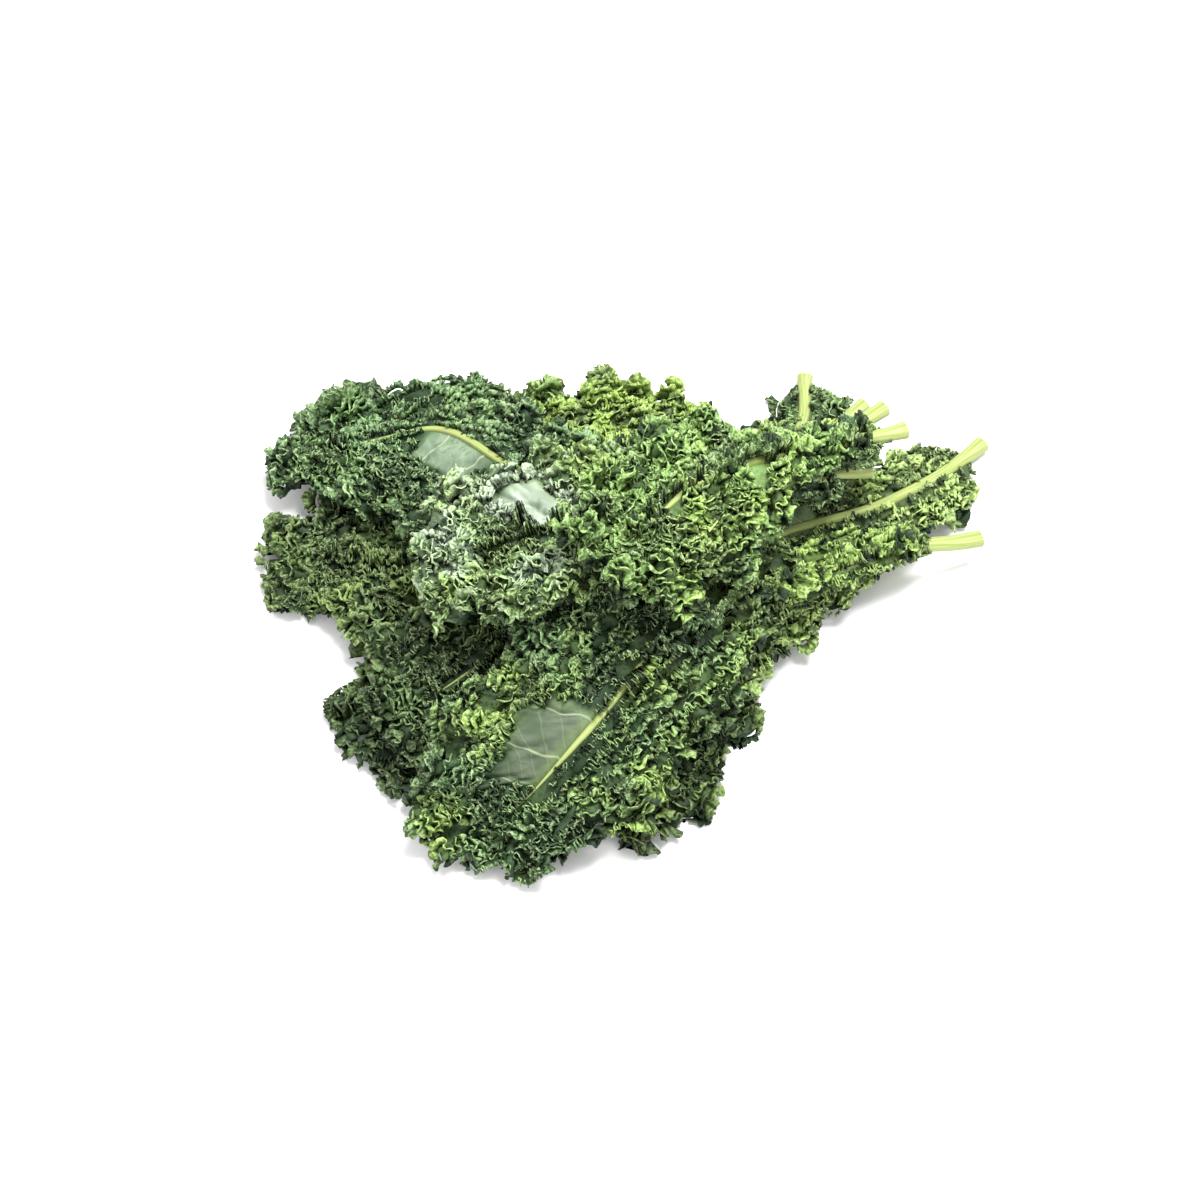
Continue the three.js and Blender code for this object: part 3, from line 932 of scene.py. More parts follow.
    def sheet_patch(self, which: int) -> Patch:
        """Returns the sheet of one half of the blade, with a finer mesh where it lies bare."""
        half = self.leaf.halves[which]
        fine = any(bare.side == half.side for bare in self.plan.bare)
        columns = int(half.total * (self.FINE_COLUMNS_EACH_MM if fine else self.COLUMNS_EACH_MM))
        levels = np.array(self.SHEET_LEVELS)
        if fine:
            close = np.arange(0.0, self.FINE_UP_TO, self.FINE_LEVEL)
            levels = np.concatenate([levels[:1], close, levels[levels > self.FINE_UP_TO]])
        distance, level = np.broadcast_arrays(
            np.linspace(0.0, half.total, columns)[:, None], levels[None, :]
        )
        points = self.surface(which, distance, level)
        share = half.share(distance)
        bloom = self.FUNNEL_BLOOM * self.funnel(points)
        for bare in self.plan.bare:
            bloom = np.maximum(bloom, bare.covers(half.side, share, level))
        rise = self.bumps(which, distance, level)
        return Patch(points, level.copy(), np.zeros_like(level), share, rise, bloom, closed=False)

    def frills(self) -> list[Frill]:
        """Returns the rows of frills on one half, from the margin to the midrib."""
        step = self.ROW_SPACING / self.leaf.widest
        rows = [
            Frill(self.MARGIN_LEVEL, height=6.0, lean=22.0, steps=self.HALFWAY),
            Frill(self.MARGIN_LEVEL - step, height=6.5, lean=52.0, steps=self.HALFWAY),
        ]
        for k, level in enumerate(np.arange(self.MARGIN_LEVEL - 2 * step, step / 2, -step)):
            rows.append(Frill(float(level), self.INNER_HEIGHT, self.INNER_LEANS[k % 2]))
        rows.append(Frill(0.0, height=10.0, lean=122.0))
        return rows

    def build(self, finish: "LeafFinish", effects: "Effects",
              shift: np.ndarray) -> list[bpy.types.Object]:
        """Makes the blade's pieces.

        Args:
            finish: Their look.
            effects: What the finishes share.
            shift: From the plan of the bunch to the frame, in millimetres.

        Returns:
            The sheet and the frills, which together stand for the leaf's blade.
        """
        sheet = patch_piece(f"{self.plan.name}_sheet", [self.sheet_patch(k) for k in (0, 1)], shift)
        skin = sheet.modifiers.new("thickness", "SOLIDIFY")
        skin.thickness = self.THICKNESS * METRES
        skin.offset = 0.0
        patches = []
        for which in (0, 1):
            for row, frill in enumerate(self.frills()):
                patches += FrillRow(self, which, row, frill).patches()
        pieces = [sheet, patch_piece(f"{self.plan.name}_frills", patches, shift)]
        for piece, material in zip(pieces, (finish.sheet(effects), finish.frills(effects))):
            piece.data.materials.append(material)
            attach(piece, RIDES_ON)
            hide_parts(f"{self.plan.name}_blade")
        return pieces

    def cover_points(self) -> np.ndarray:
        """Returns points of the sheet, close together, for what lies under it."""
        parts = []
        for which, half in enumerate(self.leaf.halves):
            distance = np.linspace(0.0, half.total, int(half.total / self.COVER_STEP))[:, None]
            level = np.linspace(*self.COVER_LEVELS)[None, :]
            points = self.surface(which, *np.broadcast_arrays(distance, level))
            parts.append(points.reshape(-1, 3))
        return np.concatenate(parts)


class FrillRow:
    """One row of curls along one half of a blade, from the line that it grows on to its edge.

    Its values are arrays with an entry for each place along the line. Distances and heights are in
    millimetres, levels and shares are the blade's own, and angles are from the blade, outwards.
    """

    # The line that it grows on, and what drifts along it, each with how far apart it turns.
    ROUGH_PLACES = 900
    PLACE_STEP = 0.5
    BASE_FADE = 8.0
    WANDER = 0.035
    WANDER_PERIOD = 10.0
    WANDER_REACH = 32.0
    WANDER_TIMES = (1.0, 3.0)
    DRIFTS = {"lean": 12.0, "turn": 6.0, "roll": 5.0, "swing": 6.0, "teeth": 1.2, "crumple": 1.5}

    # Where it is left out: between crowded rows, on bare parts, in funnels, and in short bits.
    LEAST_SPACING = 3.0
    FRAY = 0.25
    FRAY_PERIOD = 12.0
    FUNNEL_CLEARS_AT = 0.6
    SHORTEST_RUN = 8

    # Its height, as shares of the frill's own, and the teeth along its edge.
    LEAST_HEIGHT = 0.5
    ROOM = (4.0, 36.0)
    NARROW_HEIGHT = 0.62
    TUFT_DEPTH = 0.36
    CREASE_HEIGHT = 0.7
    DOME_HEIGHT = 0.25
    TOOTH = 2.3
    TOOTH_DEPTH = 0.22
    TOOTH_BEND = 1.0
    TOOTH_WANDER = 3.0
    TOOTH_SINE = 0.6
    TOOTH_DRIFT = 0.7
    EDGE_BESIDE_TOOTH = 0.26

    # How it leans, in degrees: outwards, upright beside a midrib that shows, or over the midrib.
    LEAN_DRIFT = 28.0
    INNER_LEAN = 0.72
    INNER_BAND = (10.0, 26.0)
    RIB_BLUR = 0.02
    BESIDE_RIB = (1.0, 7.0)
    BESIDE_RIB_LEAN = 76.0
    BESIDE_RIB_HEIGHT = 0.5
    OVER_RIB = (1.0, 8.0)
    OVER_SHARE = (0.4, 0.7)
    OVER_LEVEL = (0.2, 0.5)
    OVER_LEAN = 112.0
    OVER_HEIGHT = 7.0

    # How a leaf that lies on it squeezes it.
    COVER_ROOM = 1.0
    CURL_ROOM = 3.0
    MOST_SQUEEZED = 0.4

    # The shape of its curls.
    ROOT_DEPTH = 0.3
    ROLL = 14.0
    ROLL_DRIFT = 26.0
    CURL_HEIGHT = 1.9
    SWING = 1.05
    SWING_DRIFT = 0.4
    TURN_DRIFT = 0.9
    FOLD = 0.17
    CRUMPLE = 0.8
    GROWTH_POWER = 1.2

    def __init__(self, blade: Blade, which: int, row: int, frill: Frill) -> None:
        """Draws the line that the row grows on, and what varies along it.

        Args:
            blade: The blade that it stands on.
            which: The half of the blade, 0 or 1.
            row: How many rows lie between this one and the margin.
            frill: Its place and its shape.
        """
        self.blade = blade
        self.half = blade.leaf.halves[which]
        self.which = which
        self.row = row
        self.frill = frill
        # The row's drifts take the seeds that follow this one.
        self.seed = 10000 * blade.number + 100 * row + 10 * which
        self.run, self.distance, self.level = self.find_line()
        self.share = self.half.share(self.distance)
        self.reach = blade.leaf.reach(self.share, self.half.side)
        self.root = blade.surface(which, self.distance, self.level)
        self.ahead, self.out, self.normal = self.find_frame()
        self.drift = {
            key: Drift(self.seed + k + 1, self.run[-1], period).at(self.run)
            for k, (key, period) in enumerate(self.DRIFTS.items())
        }
        self.ends = smoothstep(self.distance, 0.0, self.BASE_FADE)
        self.bumps = blade.bumps(which, self.distance, self.level)
        self.funnel = blade.funnel(self.root)
        self.tooth_turn = 2 * math.pi * self.run / self.TOOTH + self.TOOTH_WANDER * self.drift["roll"]
        teeth = self.TOOTH_SINE * np.sin(self.tooth_turn) + self.TOOTH_DRIFT * self.drift["teeth"]
        self.teeth = np.clip(teeth, -1.0, 1.0)

    def find_line(self) -> tuple[np.ndarray, np.ndarray, np.ndarray]:
        """Finds places at even steps along the row, which wanders in and out of its level.

        Returns:
            How far along the row each place is, how far along the margin, and its level.
        """
        half = self.half
        rough = np.linspace(0.0, half.total, self.ROUGH_PLACES)
        wander = Drift(self.seed, half.total, self.WANDER_PERIOD).at(rough) * self.WANDER
        reach = self.blade.leaf.reach(half.share(rough), half.side)
        wander = wander * np.clip(self.WANDER_REACH / reach, *self.WANDER_TIMES)
        run = lengths_along(self.blade.surface(self.which, rough, self.frill.level + wander))
        places = np.linspace(0.0, run[-1], int(run[-1] / self.PLACE_STEP))
        level = self.frill.level + np.interp(places, run, wander)
        return places, np.interp(places, run, rough), level

    def find_frame(self) -> tuple[np.ndarray, np.ndarray, np.ndarray]:
        """Returns the directions along the row, away from the midrib, and up from the blade."""
        ahead = unit(np.gradient(self.root, axis=0))
        out = self.blade.surface(self.which, self.distance, self.level + self.blade.FEEL_OUT) - self.root
        out = unit(out - ahead * (out * ahead).sum(axis=-1, keepdims=True))
        return ahead, out, unit(np.cross(ahead, out)) * self.half.side

    def free_height(self) -> np.ndarray:
        """Returns how far the row stands out where no midrib and no other leaf is near."""
        room = smoothstep(self.reach, *self.ROOM)
        tuft = self.blade.tufts.at(self.root)
        height = self.frill.height * (self.NARROW_HEIGHT + (1 - self.NARROW_HEIGHT) * room)
        height = height * (1 + self.TUFT_DEPTH * tuft + self.TOOTH_DEPTH * self.teeth)
        for trim in self.blade.plan.trims:
            height = height * trim.at(self.half.side, self.share, self.level)
        height = height * self.ends * (self.CREASE_HEIGHT + self.DOME_HEIGHT * self.bumps)
        return np.maximum(height, self.LEAST_HEIGHT)

    def stand(self) -> tuple[np.ndarray, np.ndarray, np.ndarray]:
        """Finds how the row stands at each place.

        Beside a part of the midrib that shows it stands short and upright. Elsewhere on the lower
        part of the leaf it leans over the midrib. Under another leaf it is squeezed.

        Returns:
            How far the row stands out, its angle in radians, and the share that squeezing leaves.
        """
        from_rib = self.level * self.reach
        shows = window(self.share, *self.blade.plan.rib_shows, self.RIB_BLUR)
        near = shows * (1 - smoothstep(from_rib, *self.BESIDE_RIB))
        over = (1 - shows) * (1 - smoothstep(self.share, *self.OVER_SHARE))
        over = over * (1 - smoothstep(from_rib, *self.OVER_RIB))
        over = over * (1 - smoothstep(self.level, *self.OVER_LEVEL))
        lean = np.radians(self.frill.lean + self.LEAN_DRIFT * self.drift["lean"])
        lean = lean * lerp(self.INNER_LEAN, 1.0, smoothstep(from_rib, *self.INNER_BAND))
        lean = lerp(lean, np.radians(self.BESIDE_RIB_LEAN), near)
        lean = lerp(lean, np.radians(self.OVER_LEAN), over)
        height = self.free_height() * (1 - self.BESIDE_RIB_HEIGHT * near)
        height = height + self.OVER_HEIGHT * over * self.ends
        room = (self.blade.cover.gap(self.root) - self.COVER_ROOM) / (height + self.CURL_ROOM)
        squeeze = np.clip(room, self.MOST_SQUEEZED, 1.0)
        return height * squeeze, lean, squeeze

    def spacing(self) -> np.ndarray:
        """Returns how far apart the blade's rows lie."""
        return self.reach * self.blade.ROW_SPACING / self.blade.leaf.widest

    def curl_turn(self) -> np.ndarray:
        """Returns the turn of the curls, which is opposite on neighbouring rows that lie apart."""
        phase = math.pi * self.row * np.minimum(self.spacing() / self.LEAST_SPACING, 1.0)
        turn = np.interp(self.distance, *self.blade.curl_turns[self.which])
        return turn + phase + self.TURN_DRIFT * self.drift["turn"]

    def sections(self) -> tuple[list[np.ndarray], list[np.ndarray]]:
        """Returns the middle of the row at each of its steps, and the directions it faces there."""
        height, lean, squeeze = self.stand()
        turn = self.curl_turn()
        roll = np.radians(self.ROLL + self.ROLL_DRIFT * self.drift["roll"])
        swing = self.CURL_HEIGHT * (self.SWING + self.SWING_DRIFT * self.drift["swing"])
        swing = swing * squeeze * self.ends
        sway = swing * np.sin(turn) + self.CRUMPLE * self.drift["crumple"]
        middles, faces = [], []
        spot = self.root - self.normal * self.ROOT_DEPTH
        last = 0.0
        for step in self.frill.steps:
            angle = (lean + roll * (last + step) / 2)[:, None]
            way = np.cos(angle) * self.out + np.sin(angle) * self.normal
            face = np.cos(angle) * self.normal - np.sin(angle) * self.out
            spot = spot + way * (height * (step - last))[:, None]
            grow = step**self.GROWTH_POWER
            wave = face * (grow * sway)[:, None]
            fold = grow * -self.FOLD * self.blade.CURLS.length * self.ends * np.sin(2 * turn)
            bend = face * (grow * self.TOOTH_BEND * np.sin(0.5 * self.tooth_turn))[:, None]
            middles.append(spot + wave + self.ahead * fold[:, None] + bend)
            faces.append(face)
            last = step
        return middles, faces

    def ring(self) -> np.ndarray:
        """Returns the ring of points at each place: thin at the root, and thick along the edge."""
        middles, faces = self.sections()
        front, back = [middles[0]], []
        for middle, face in zip(middles[1:], faces[1:]):
            ahead = unit(np.gradient(middle, axis=0))
            rise = unit(middle - middles[0])
            across = unit(np.cross(ahead, rise))
            across = across * np.sign((across * face).sum(axis=-1, keepdims=True) + 1e-9)
            front.append(middle + across * self.blade.THICKNESS / 2)
            back.append(middle - across * self.blade.THICKNESS / 2)
        ring = np.stack(front + back[::-1], axis=1)
        ring[..., 2] = np.maximum(ring[..., 2], 0.0)
        return ring

    def kept(self) -> np.ndarray:
        """Returns which places are grown: not where rows crowd, nor deep under a leaf, nor bare."""
        spacing = self.spacing()
        every = 2 ** np.ceil(np.log2(np.maximum(self.LEAST_SPACING / spacing, 1.0))).astype(int)
        innermost = self.level < 0.5 * self.blade.ROW_SPACING / self.blade.leaf.widest
        keep = (self.row % every == 0) | innermost
        keep &= ~self.blade.cover.hides(self.root)
        fray = Drift(self.seed + 9, self.half.total + 1, self.FRAY_PERIOD)
        fray = self.FRAY * fray.at(self.half.total * self.share)
        for bare in self.blade.plan.bare:
            keep &= bare.covers(self.half.side, self.share, self.level) + fray < 0.5
        return keep & (self.funnel < self.FUNNEL_CLEARS_AT)

    def patches(self) -> list[Patch]:
        """Returns the row in as many runs as it takes."""
        ring = self.ring()
        steps = self.frill.steps
        edge = np.array(steps + steps[:0:-1])
        bloom = self.funnel
        for bare in self.blade.plan.bare:
            bloom = np.maximum(bloom, bare.glows(self.half.side, self.share, self.level))
        ends = np.concatenate([[False], self.kept(), [False]]).astype(int)
        cuts = np.flatnonzero(np.diff(ends))
        patches = []
        for first, end in zip(cuts[::2], cuts[1::2]):
            if end - first < self.SHORTEST_RUN:
                continue
            part = slice(first, end)
            shape = ring[part].shape[:2]
            level, share, rise, glow = (
                np.broadcast_to(values[part, None], shape)
                for values in (self.level, self.share, self.bumps, bloom)
            )
            tooth = 1 - self.EDGE_BESIDE_TOOTH + self.EDGE_BESIDE_TOOTH * self.teeth[part, None]
            patches.append(Patch(ring[part], level, edge * tooth, share, rise, glow))
        return patches


def add_patch(bm: bmesh.types.BMesh, patch: Patch, place: float) -> None:
    """Adds the mesh of one patch, still straight, at a place along X.

    Args:
        bm: What it is added to.
        patch: The patch.
        place: Where its middle comes to lie.
    """
    length, width = patch.level.shape
    at = Matrix.Translation((place, 0, 0))
    if not patch.closed:
        bmesh.ops.create_grid(bm, x_segments=width - 1, y_segments=length - 1, size=1.0, matrix=at)
        return
    made = bmesh.ops.create_cone(
        bm, cap_ends=True, segments=width, radius1=1.0, radius2=1.0, depth=2.0, matrix=at
    )
    sides = {e for v in made["verts"] for e in v.link_edges
             if abs(e.verts[0].co.z - e.verts[1].co.z) > 1.0}
    bmesh.ops.subdivide_edges(bm, edges=list(sides), cuts=length - 2, use_grid_fill=True)


def straight_mesh(name: str, patches: list[Patch]) -> bpy.types.Mesh:
    """Makes the mesh of several patches, still straight and side by side along X."""
    mesh = bpy.data.meshes.new(name)
    bm = bmesh.new()
    for layer, patch in enumerate(patches):
        add_patch(bm, patch, PATCH_SPACING * layer)
    bm.to_mesh(mesh)
    bm.free()
    return mesh


def read_places(mesh: bpy.types.Mesh) -> np.ndarray:
    """Returns the places of a mesh's points."""
    places = np.empty(len(mesh.vertices) * 3, np.float32)
    mesh.vertices.foreach_get("co", places)
    return places.reshape(-1, 3).astype(float)


def shape_mesh(mesh: bpy.types.Mesh, places: np.ndarray, values: dict[str, np.ndarray]) -> None:
    """Moves a mesh's points, keeps what the finish reads at them, and shades it smoothly.

    Args:
        mesh: The mesh.
        places: Where its points go, in metres.
        values: The point attributes, by name.
    """
    mesh.vertices.foreach_set("co", places.astype(np.float32).ravel())
    for key, store in values.items():
        mesh.attributes.new(key, "FLOAT", "POINT").data.foreach_set("value", store)
    mesh.polygons.foreach_set("use_smooth", np.ones(len(mesh.polygons), bool))
    mesh.update()


def add_piece(name: str, mesh: bpy.types.Mesh) -> bpy.types.Object:
    """Puts a mesh in the scene."""
    piece = bpy.data.objects.new(name, mesh)
    bpy.context.scene.collection.objects.link(piece)
    return piece


def patch_piece(name: str, patches: list[Patch], shift: np.ndarray) -> bpy.types.Object:
    """Makes one piece from several patches.

    Args:
        name: The piece's name.
        patches: The patches, with the values that the finish reads.
        shift: Added to every point, in millimetres.

    Returns:
        The piece, smoothly shaded, with a point attribute for each of the patches' values.
    """
    mesh = straight_mesh(name, patches)
    straight = read_places(mesh)
    layers = np.rint(straight[:, 0] / PATCH_SPACING).astype(int)
    order = np.argsort(layers, kind="stable")
    bounds = np.searchsorted(layers[order], np.arange(len(patches) + 1))
    places = np.empty_like(straight)
    values = {key: np.empty(len(straight), np.float32) for key in VALUES}
    for layer, patch in enumerate(patches):
        mine = order[bounds[layer]:bounds[layer + 1]]
        where = patch.find(straight[mine] - (PATCH_SPACING * layer, 0, 0))
        places[mine] = (patch.points[where] + shift) * METRES
        for key, store in values.items():
            store[mine] = getattr(patch, key)[where]
    shape_mesh(mesh, places, values)
    bm = bmesh.new()
    bm.from_mesh(mesh)
    bmesh.ops.recalc_face_normals(bm, faces=bm.faces)
    bm.to_mesh(mesh)
    bm.free()
    return add_piece(name, mesh)


class Stalk:
    """The pale stalk of one leaf, which runs on as the midrib."""

    SIDES = 14
    STEPS = 72
    CHAMFER = 0.6
    TAPER = 0.75
    TAPERS_OVER = (0.8, 1.0)
    GROOVE = 0.16
    GROOVE_WIDTH = 0.35

    def __init__(self, leaf: Leaf) -> None:
        """Keeps the leaf that the stalk belongs to."""
        self.leaf = leaf

    def centre(self, along: np.ndarray) -> np.ndarray:
        """Returns the middle of the stalk at distances along it."""
        place = self.leaf.place(along, np.zeros_like(along))
        return np.concatenate([place, self.leaf.rib_height(along)[:, None]], axis=1)

    def post(self, name: str) -> bpy.types.Mesh:
        """Makes the stalk's mesh, still a straight post of height 1 with rings of points."""
        bm = bmesh.new()
        bmesh.ops.create_cone(
            bm, cap_ends=True, segments=self.SIDES, radius1=1.0, radius2=1.0, depth=1.0
        )
        long_edges = [e for e in bm.edges if abs(e.verts[0].co.z - e.verts[1].co.z) > 0.5]
        bmesh.ops.subdivide_edges(bm, edges=long_edges, cuts=self.STEPS, use_grid_fill=True)
        mesh = bpy.data.meshes.new(name)
        bm.to_mesh(mesh)
        bm.free()
        return mesh

    def bent(self, post: np.ndarray, share: np.ndarray, ring: np.ndarray) -> np.ndarray:
        """Returns where the post's points lie on the leaf, with the groove along its top.

        Args:
            post: Their places on the straight post.
            share: The share of the midrib's length that each of them is at.
            ring: The number of its ring, which is 0 at the cut face and 1 past its chamfer.
        """
        along = np.where(ring == 1, self.CHAMFER, share * self.leaf.length)
        radius = self.leaf.stalk_radius(along) * (1 - self.TAPER * smoothstep(share, *self.TAPERS_OVER))
        radius = radius - self.CHAMFER * (ring == 0)
        ahead = unit(self.centre(along + 1.0) - self.centre(along - 1.0))
        right = unit(np.stack([ahead[:, 1], -ahead[:, 0], np.zeros(len(ahead))], axis=1))
        up = np.cross(right, ahead)
        groove = 1 - self.GROOVE * np.exp(-((post[:, 0] / self.GROOVE_WIDTH) ** 2)) * (post[:, 1] < 0)
        places = self.centre(along) + right * (radius * post[:, 0])[:, None]
        return places + up * (radius * groove * -post[:, 1])[:, None]

    def build(self, finish: bpy.types.Material, shift: np.ndarray) -> bpy.types.Object:
        """Makes the stalk's piece.

        Args:
            finish: Its material.
            shift: From the plan of the bunch to the frame, in millimetres.

        Returns:
            The piece, which stands for the leaf's stalk.
        """
        name = f"{self.leaf.plan.name}_rib"
        mesh = self.post(name)
        post = read_places(mesh)
        share = post[:, 2] + 0.5
        ring = np.rint(share * (self.STEPS + 1))
        turn = np.arctan2(post[:, 0], -post[:, 1])
        places = (self.bent(post, share, ring) + shift) * METRES
        shape_mesh(mesh, places, {"share": share, "turn": turn, "cut": (ring == 0).astype(float)})
        piece = add_piece(name, mesh)
        piece.data.materials.append(finish)
        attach(piece, RIDES_ON)
        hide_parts(f"{self.leaf.plan.name}_stalk")
        return piece


class Tree:
    """Builds the nodes of one material or group."""

    def __init__(self, tree: bpy.types.NodeTree) -> None:
        """Keeps the tree that is built."""
        self.tree = tree

    def add(self, kind: str, settings: dict | None = None, **inputs: object) -> bpy.types.Node:
        """Adds a node.

        Args:
            kind: The node's type, without its prefix.
            settings: Properties of the node.
            inputs: Values or sockets for its inputs, with _ for a space in a name.

        Returns:
            The node.
        """
        node = self.tree.nodes.new(f"ShaderNode{kind}")
        for key, value in (settings or {}).items():
            setattr(node, key, value)
        for key, value in inputs.items():
            self.feed(node, key.replace("_", " "), value)
        return node

    def feed(self, node: bpy.types.Node, name: str, value: object) -> None:
        """Sets an input of a node, or links a socket to it."""
        sockets = [socket for socket in node.inputs if socket.name == name and socket.enabled]
        if isinstance(value, bpy.types.NodeSocket):
            self.tree.links.new(value, sockets[0])
        else:
            sockets[0].default_value = value

    def value(self, name: str) -> bpy.types.NodeSocket:
        """Returns one of the mesh's values."""
        return self.add("Attribute", {"attribute_name": name}).outputs["Fac"]

    def group(self, effect: bpy.types.NodeTree, **inputs: object) -> bpy.types.NodeOutputs:
        """Adds a shared effect, and returns its outputs."""
        node = self.add("Group", {"node_tree": effect})
        for key, value in inputs.items():
            self.feed(node, key, value)
        return node.outputs

    def math(self, operation: str, first: object, second: object = 0.0) -> bpy.types.NodeSocket:
        """Returns the result of a sum on one or two values."""
        node = self.tree.nodes.new("ShaderNodeMath")
        node.operation = operation
        for socket, value in zip(node.inputs, (first, second)):
            if isinstance(value, bpy.types.NodeSocket):
                self.tree.links.new(value, socket)
            else:
                socket.default_value = value
        return node.outputs["Value"]

    def ramp(self, value: object, low: float, high: float) -> bpy.types.NodeSocket:
        """Returns 0 below low and 1 above high, with a smooth rise between them."""
        node = self.add("MapRange", {"interpolation_type": "SMOOTHSTEP"}, Value=value,
                        From_Min=low, From_Max=high)
        return node.outputs["Result"]

    def fall(self, value: object, low: float, high: float) -> bpy.types.NodeSocket:
        """Returns 1 below low and 0 above high, with a smooth fall between them."""
        node = self.add("MapRange", {"interpolation_type": "SMOOTHSTEP"}, Value=value,
                        From_Min=low, From_Max=high, To_Min=1.0, To_Max=0.0)
        return node.outputs["Result"]

    def mix(self, share: object, first: object, second: object) -> bpy.types.NodeSocket:
        """Returns a colour between two others."""
        node = self.tree.nodes.new("ShaderNodeMix")
        node.data_type = "RGBA"
        for name, value in (("Factor", share), ("A", first), ("B", second)):
            self.feed(node, name, value)
        return next(socket for socket in node.outputs if socket.enabled)

    def noise(self, place: bpy.types.NodeSocket, scale: float, detail: float = 2.0) -> bpy.types.NodeSocket:
        """Returns a cloudy value round 0.5."""
        node = self.add("TexNoise", Vector=place, Scale=scale, Detail=detail)
        return node.outputs["Fac"]


Colour = tuple[float, float, float, float]


class Effects:
    """The shader effects that several finishes share, each built once.

    The first six values are named for what a noise draws, and say about how many of them a metre
    holds. The streaks are counted along a blade and across it.
    """

    YOUNG_CLUMPS = 22.0
    SHADED_CLUMPS = 34.0
    WAXY_CLUMPS = 35.0
    CREASES = 300.0
    VEIN_BENDS = 30.0
    CLOUDS = 45.0
    STREAKS_ALONG = 160.0
    STREAKS_OUT = 14.0
    # The painted shade of the shaded clumps, and how far they take it on.
    CLUMP_SHADE = (0.008, 0.018, 0.009, 1.0)
    CLUMP_SHADE_SHARE = 0.7

    def __init__(self) -> None:
        """Builds the effects."""
        self.tint = self.build_tint()
        self.curls = self.build_curls()
        self.veins = self.build_veins()

    @staticmethod
    def start(name: str, inputs: dict[str, str], outputs: dict[str, str]) -> tuple:
        """Starts an effect.

        Args:
            name: Its name.
            inputs: The kind of each of its inputs.
            outputs: The kind of each of its outputs.

        Returns:
            Its tree, the sockets that its inputs come from, and the node that takes its outputs.
        """
        group = bpy.data.node_groups.new(name, "ShaderNodeTree")
        for way, sockets in (("INPUT", inputs), ("OUTPUT", outputs)):
            for label, kind in sockets.items():
                group.interface.new_socket(label, in_out=way, socket_type=f"NodeSocket{kind}")
        source = group.nodes.new("NodeGroupInput")
        result = group.nodes.new("NodeGroupOutput")
        return Tree(group), source.outputs, result

    def build_tint(self) -> bpy.types.NodeTree:
        """Builds how a leaf's colour drifts from clump to clump, with painted shade on some clumps."""
        tree, given, result = self.start(
            "leaf_tint",
            {"Flesh": "Color", "Young": "Color", "Bloom": "Color", "Waxy": "Float",
             "Fresh": "Float"},
            {"Colour": "Color"},
        )
        place = tree.add("TexCoord").outputs["Object"]
        # Some clumps turn to the young colour, and so does all of the blade near its base.
        young = tree.ramp(tree.noise(place, self.YOUNG_CLUMPS), 0.42, 0.68)
        past = tree.math("SUBTRACT", tree.value("share"), given["Fresh"])
        young = tree.math("MAXIMUM", young, tree.fall(past, -0.08, 0.04))
        flesh = tree.mix(young, given["Flesh"], given["Young"])
        # Some clumps, placed by noise, get a painted shade that stands in for the shade between clumps.
        dark = tree.mix(self.CLUMP_SHADE_SHARE, flesh, self.CLUMP_SHADE)
        flesh = tree.mix(tree.ramp(tree.noise(place, self.SHADED_CLUMPS, 1.0), 0.38, 0.58), dark, flesh)
        # Some are waxy, and the bare parts all are.
        waxy = tree.ramp(tree.noise(place, self.WAXY_CLUMPS, 3.0), 0.45, 0.7)
        waxy = tree.math("MULTIPLY", waxy, given["Waxy"])
        waxy = tree.math("MAXIMUM", waxy, tree.value("bloom"))
        tree.feed(result, "Colour", tree.mix(waxy, flesh, given["Bloom"]))
        return tree.tree

    def build_curls(self) -> bpy.types.NodeTree:
        """Builds the painted shade where the curls are deep and in their holes, and the painted highlight
        along their edges.
        """
        tree, _, result = self.start(
            "curls", {}, {"Dome": "Float", "Depth": "Float", "Rim": "Float", "Holes": "Float"}
        )
        place = tree.add("TexCoord").outputs["Object"]
        edge = tree.value("edge")
        # A frill gets painted shade at its root and in the creases between the bulges.
        dome = tree.ramp(tree.value("rise"), 0.25, 0.9)
        depth = tree.math("ADD", tree.math("MULTIPLY", dome, 0.75), 0.25)
        depth = tree.ramp(tree.math("MULTIPLY", edge, depth), 0.1, 0.8)
        # Fine wandering lines near the edge get a painted highlight, brighter on the domes, and holes are
        # left between them, which the finishes paint with shade.
        away = tree.math("SUBTRACT", tree.noise(place, self.CREASES, 1.0), 0.5)
        away = tree.math("ABSOLUTE", away)
        light = tree.math("ADD", tree.math("MULTIPLY", tree.ramp(edge, 0.3, 0.9), 0.65), 0.35)
        rim = tree.math("MULTIPLY", tree.fall(away, 0.01, 0.07), light)
        rim = tree.math("MULTIPLY", rim, tree.math("ADD", tree.math("MULTIPLY", dome, 0.8), 0.05))
        holes = tree.ramp(away, 0.05, 0.17)
        rim = tree.math("MULTIPLY", rim, 0.75)
        for name, value in (("Dome", dome), ("Depth", depth), ("Rim", rim), ("Holes", holes)):
            tree.feed(result, name, value)
        return tree.tree

    def build_veins(self) -> bpy.types.NodeTree:
        """Builds the side veins of a sheet, and how they branch."""
        tree, _, result = self.start(
            "side_veins", {},
            {"Veins": "Float", "Cloud": "Float", "Beside": "Float", "Beyond": "Float"},
        )
        place = tree.add("TexCoord").outputs["Object"]
        level = tree.value("level")
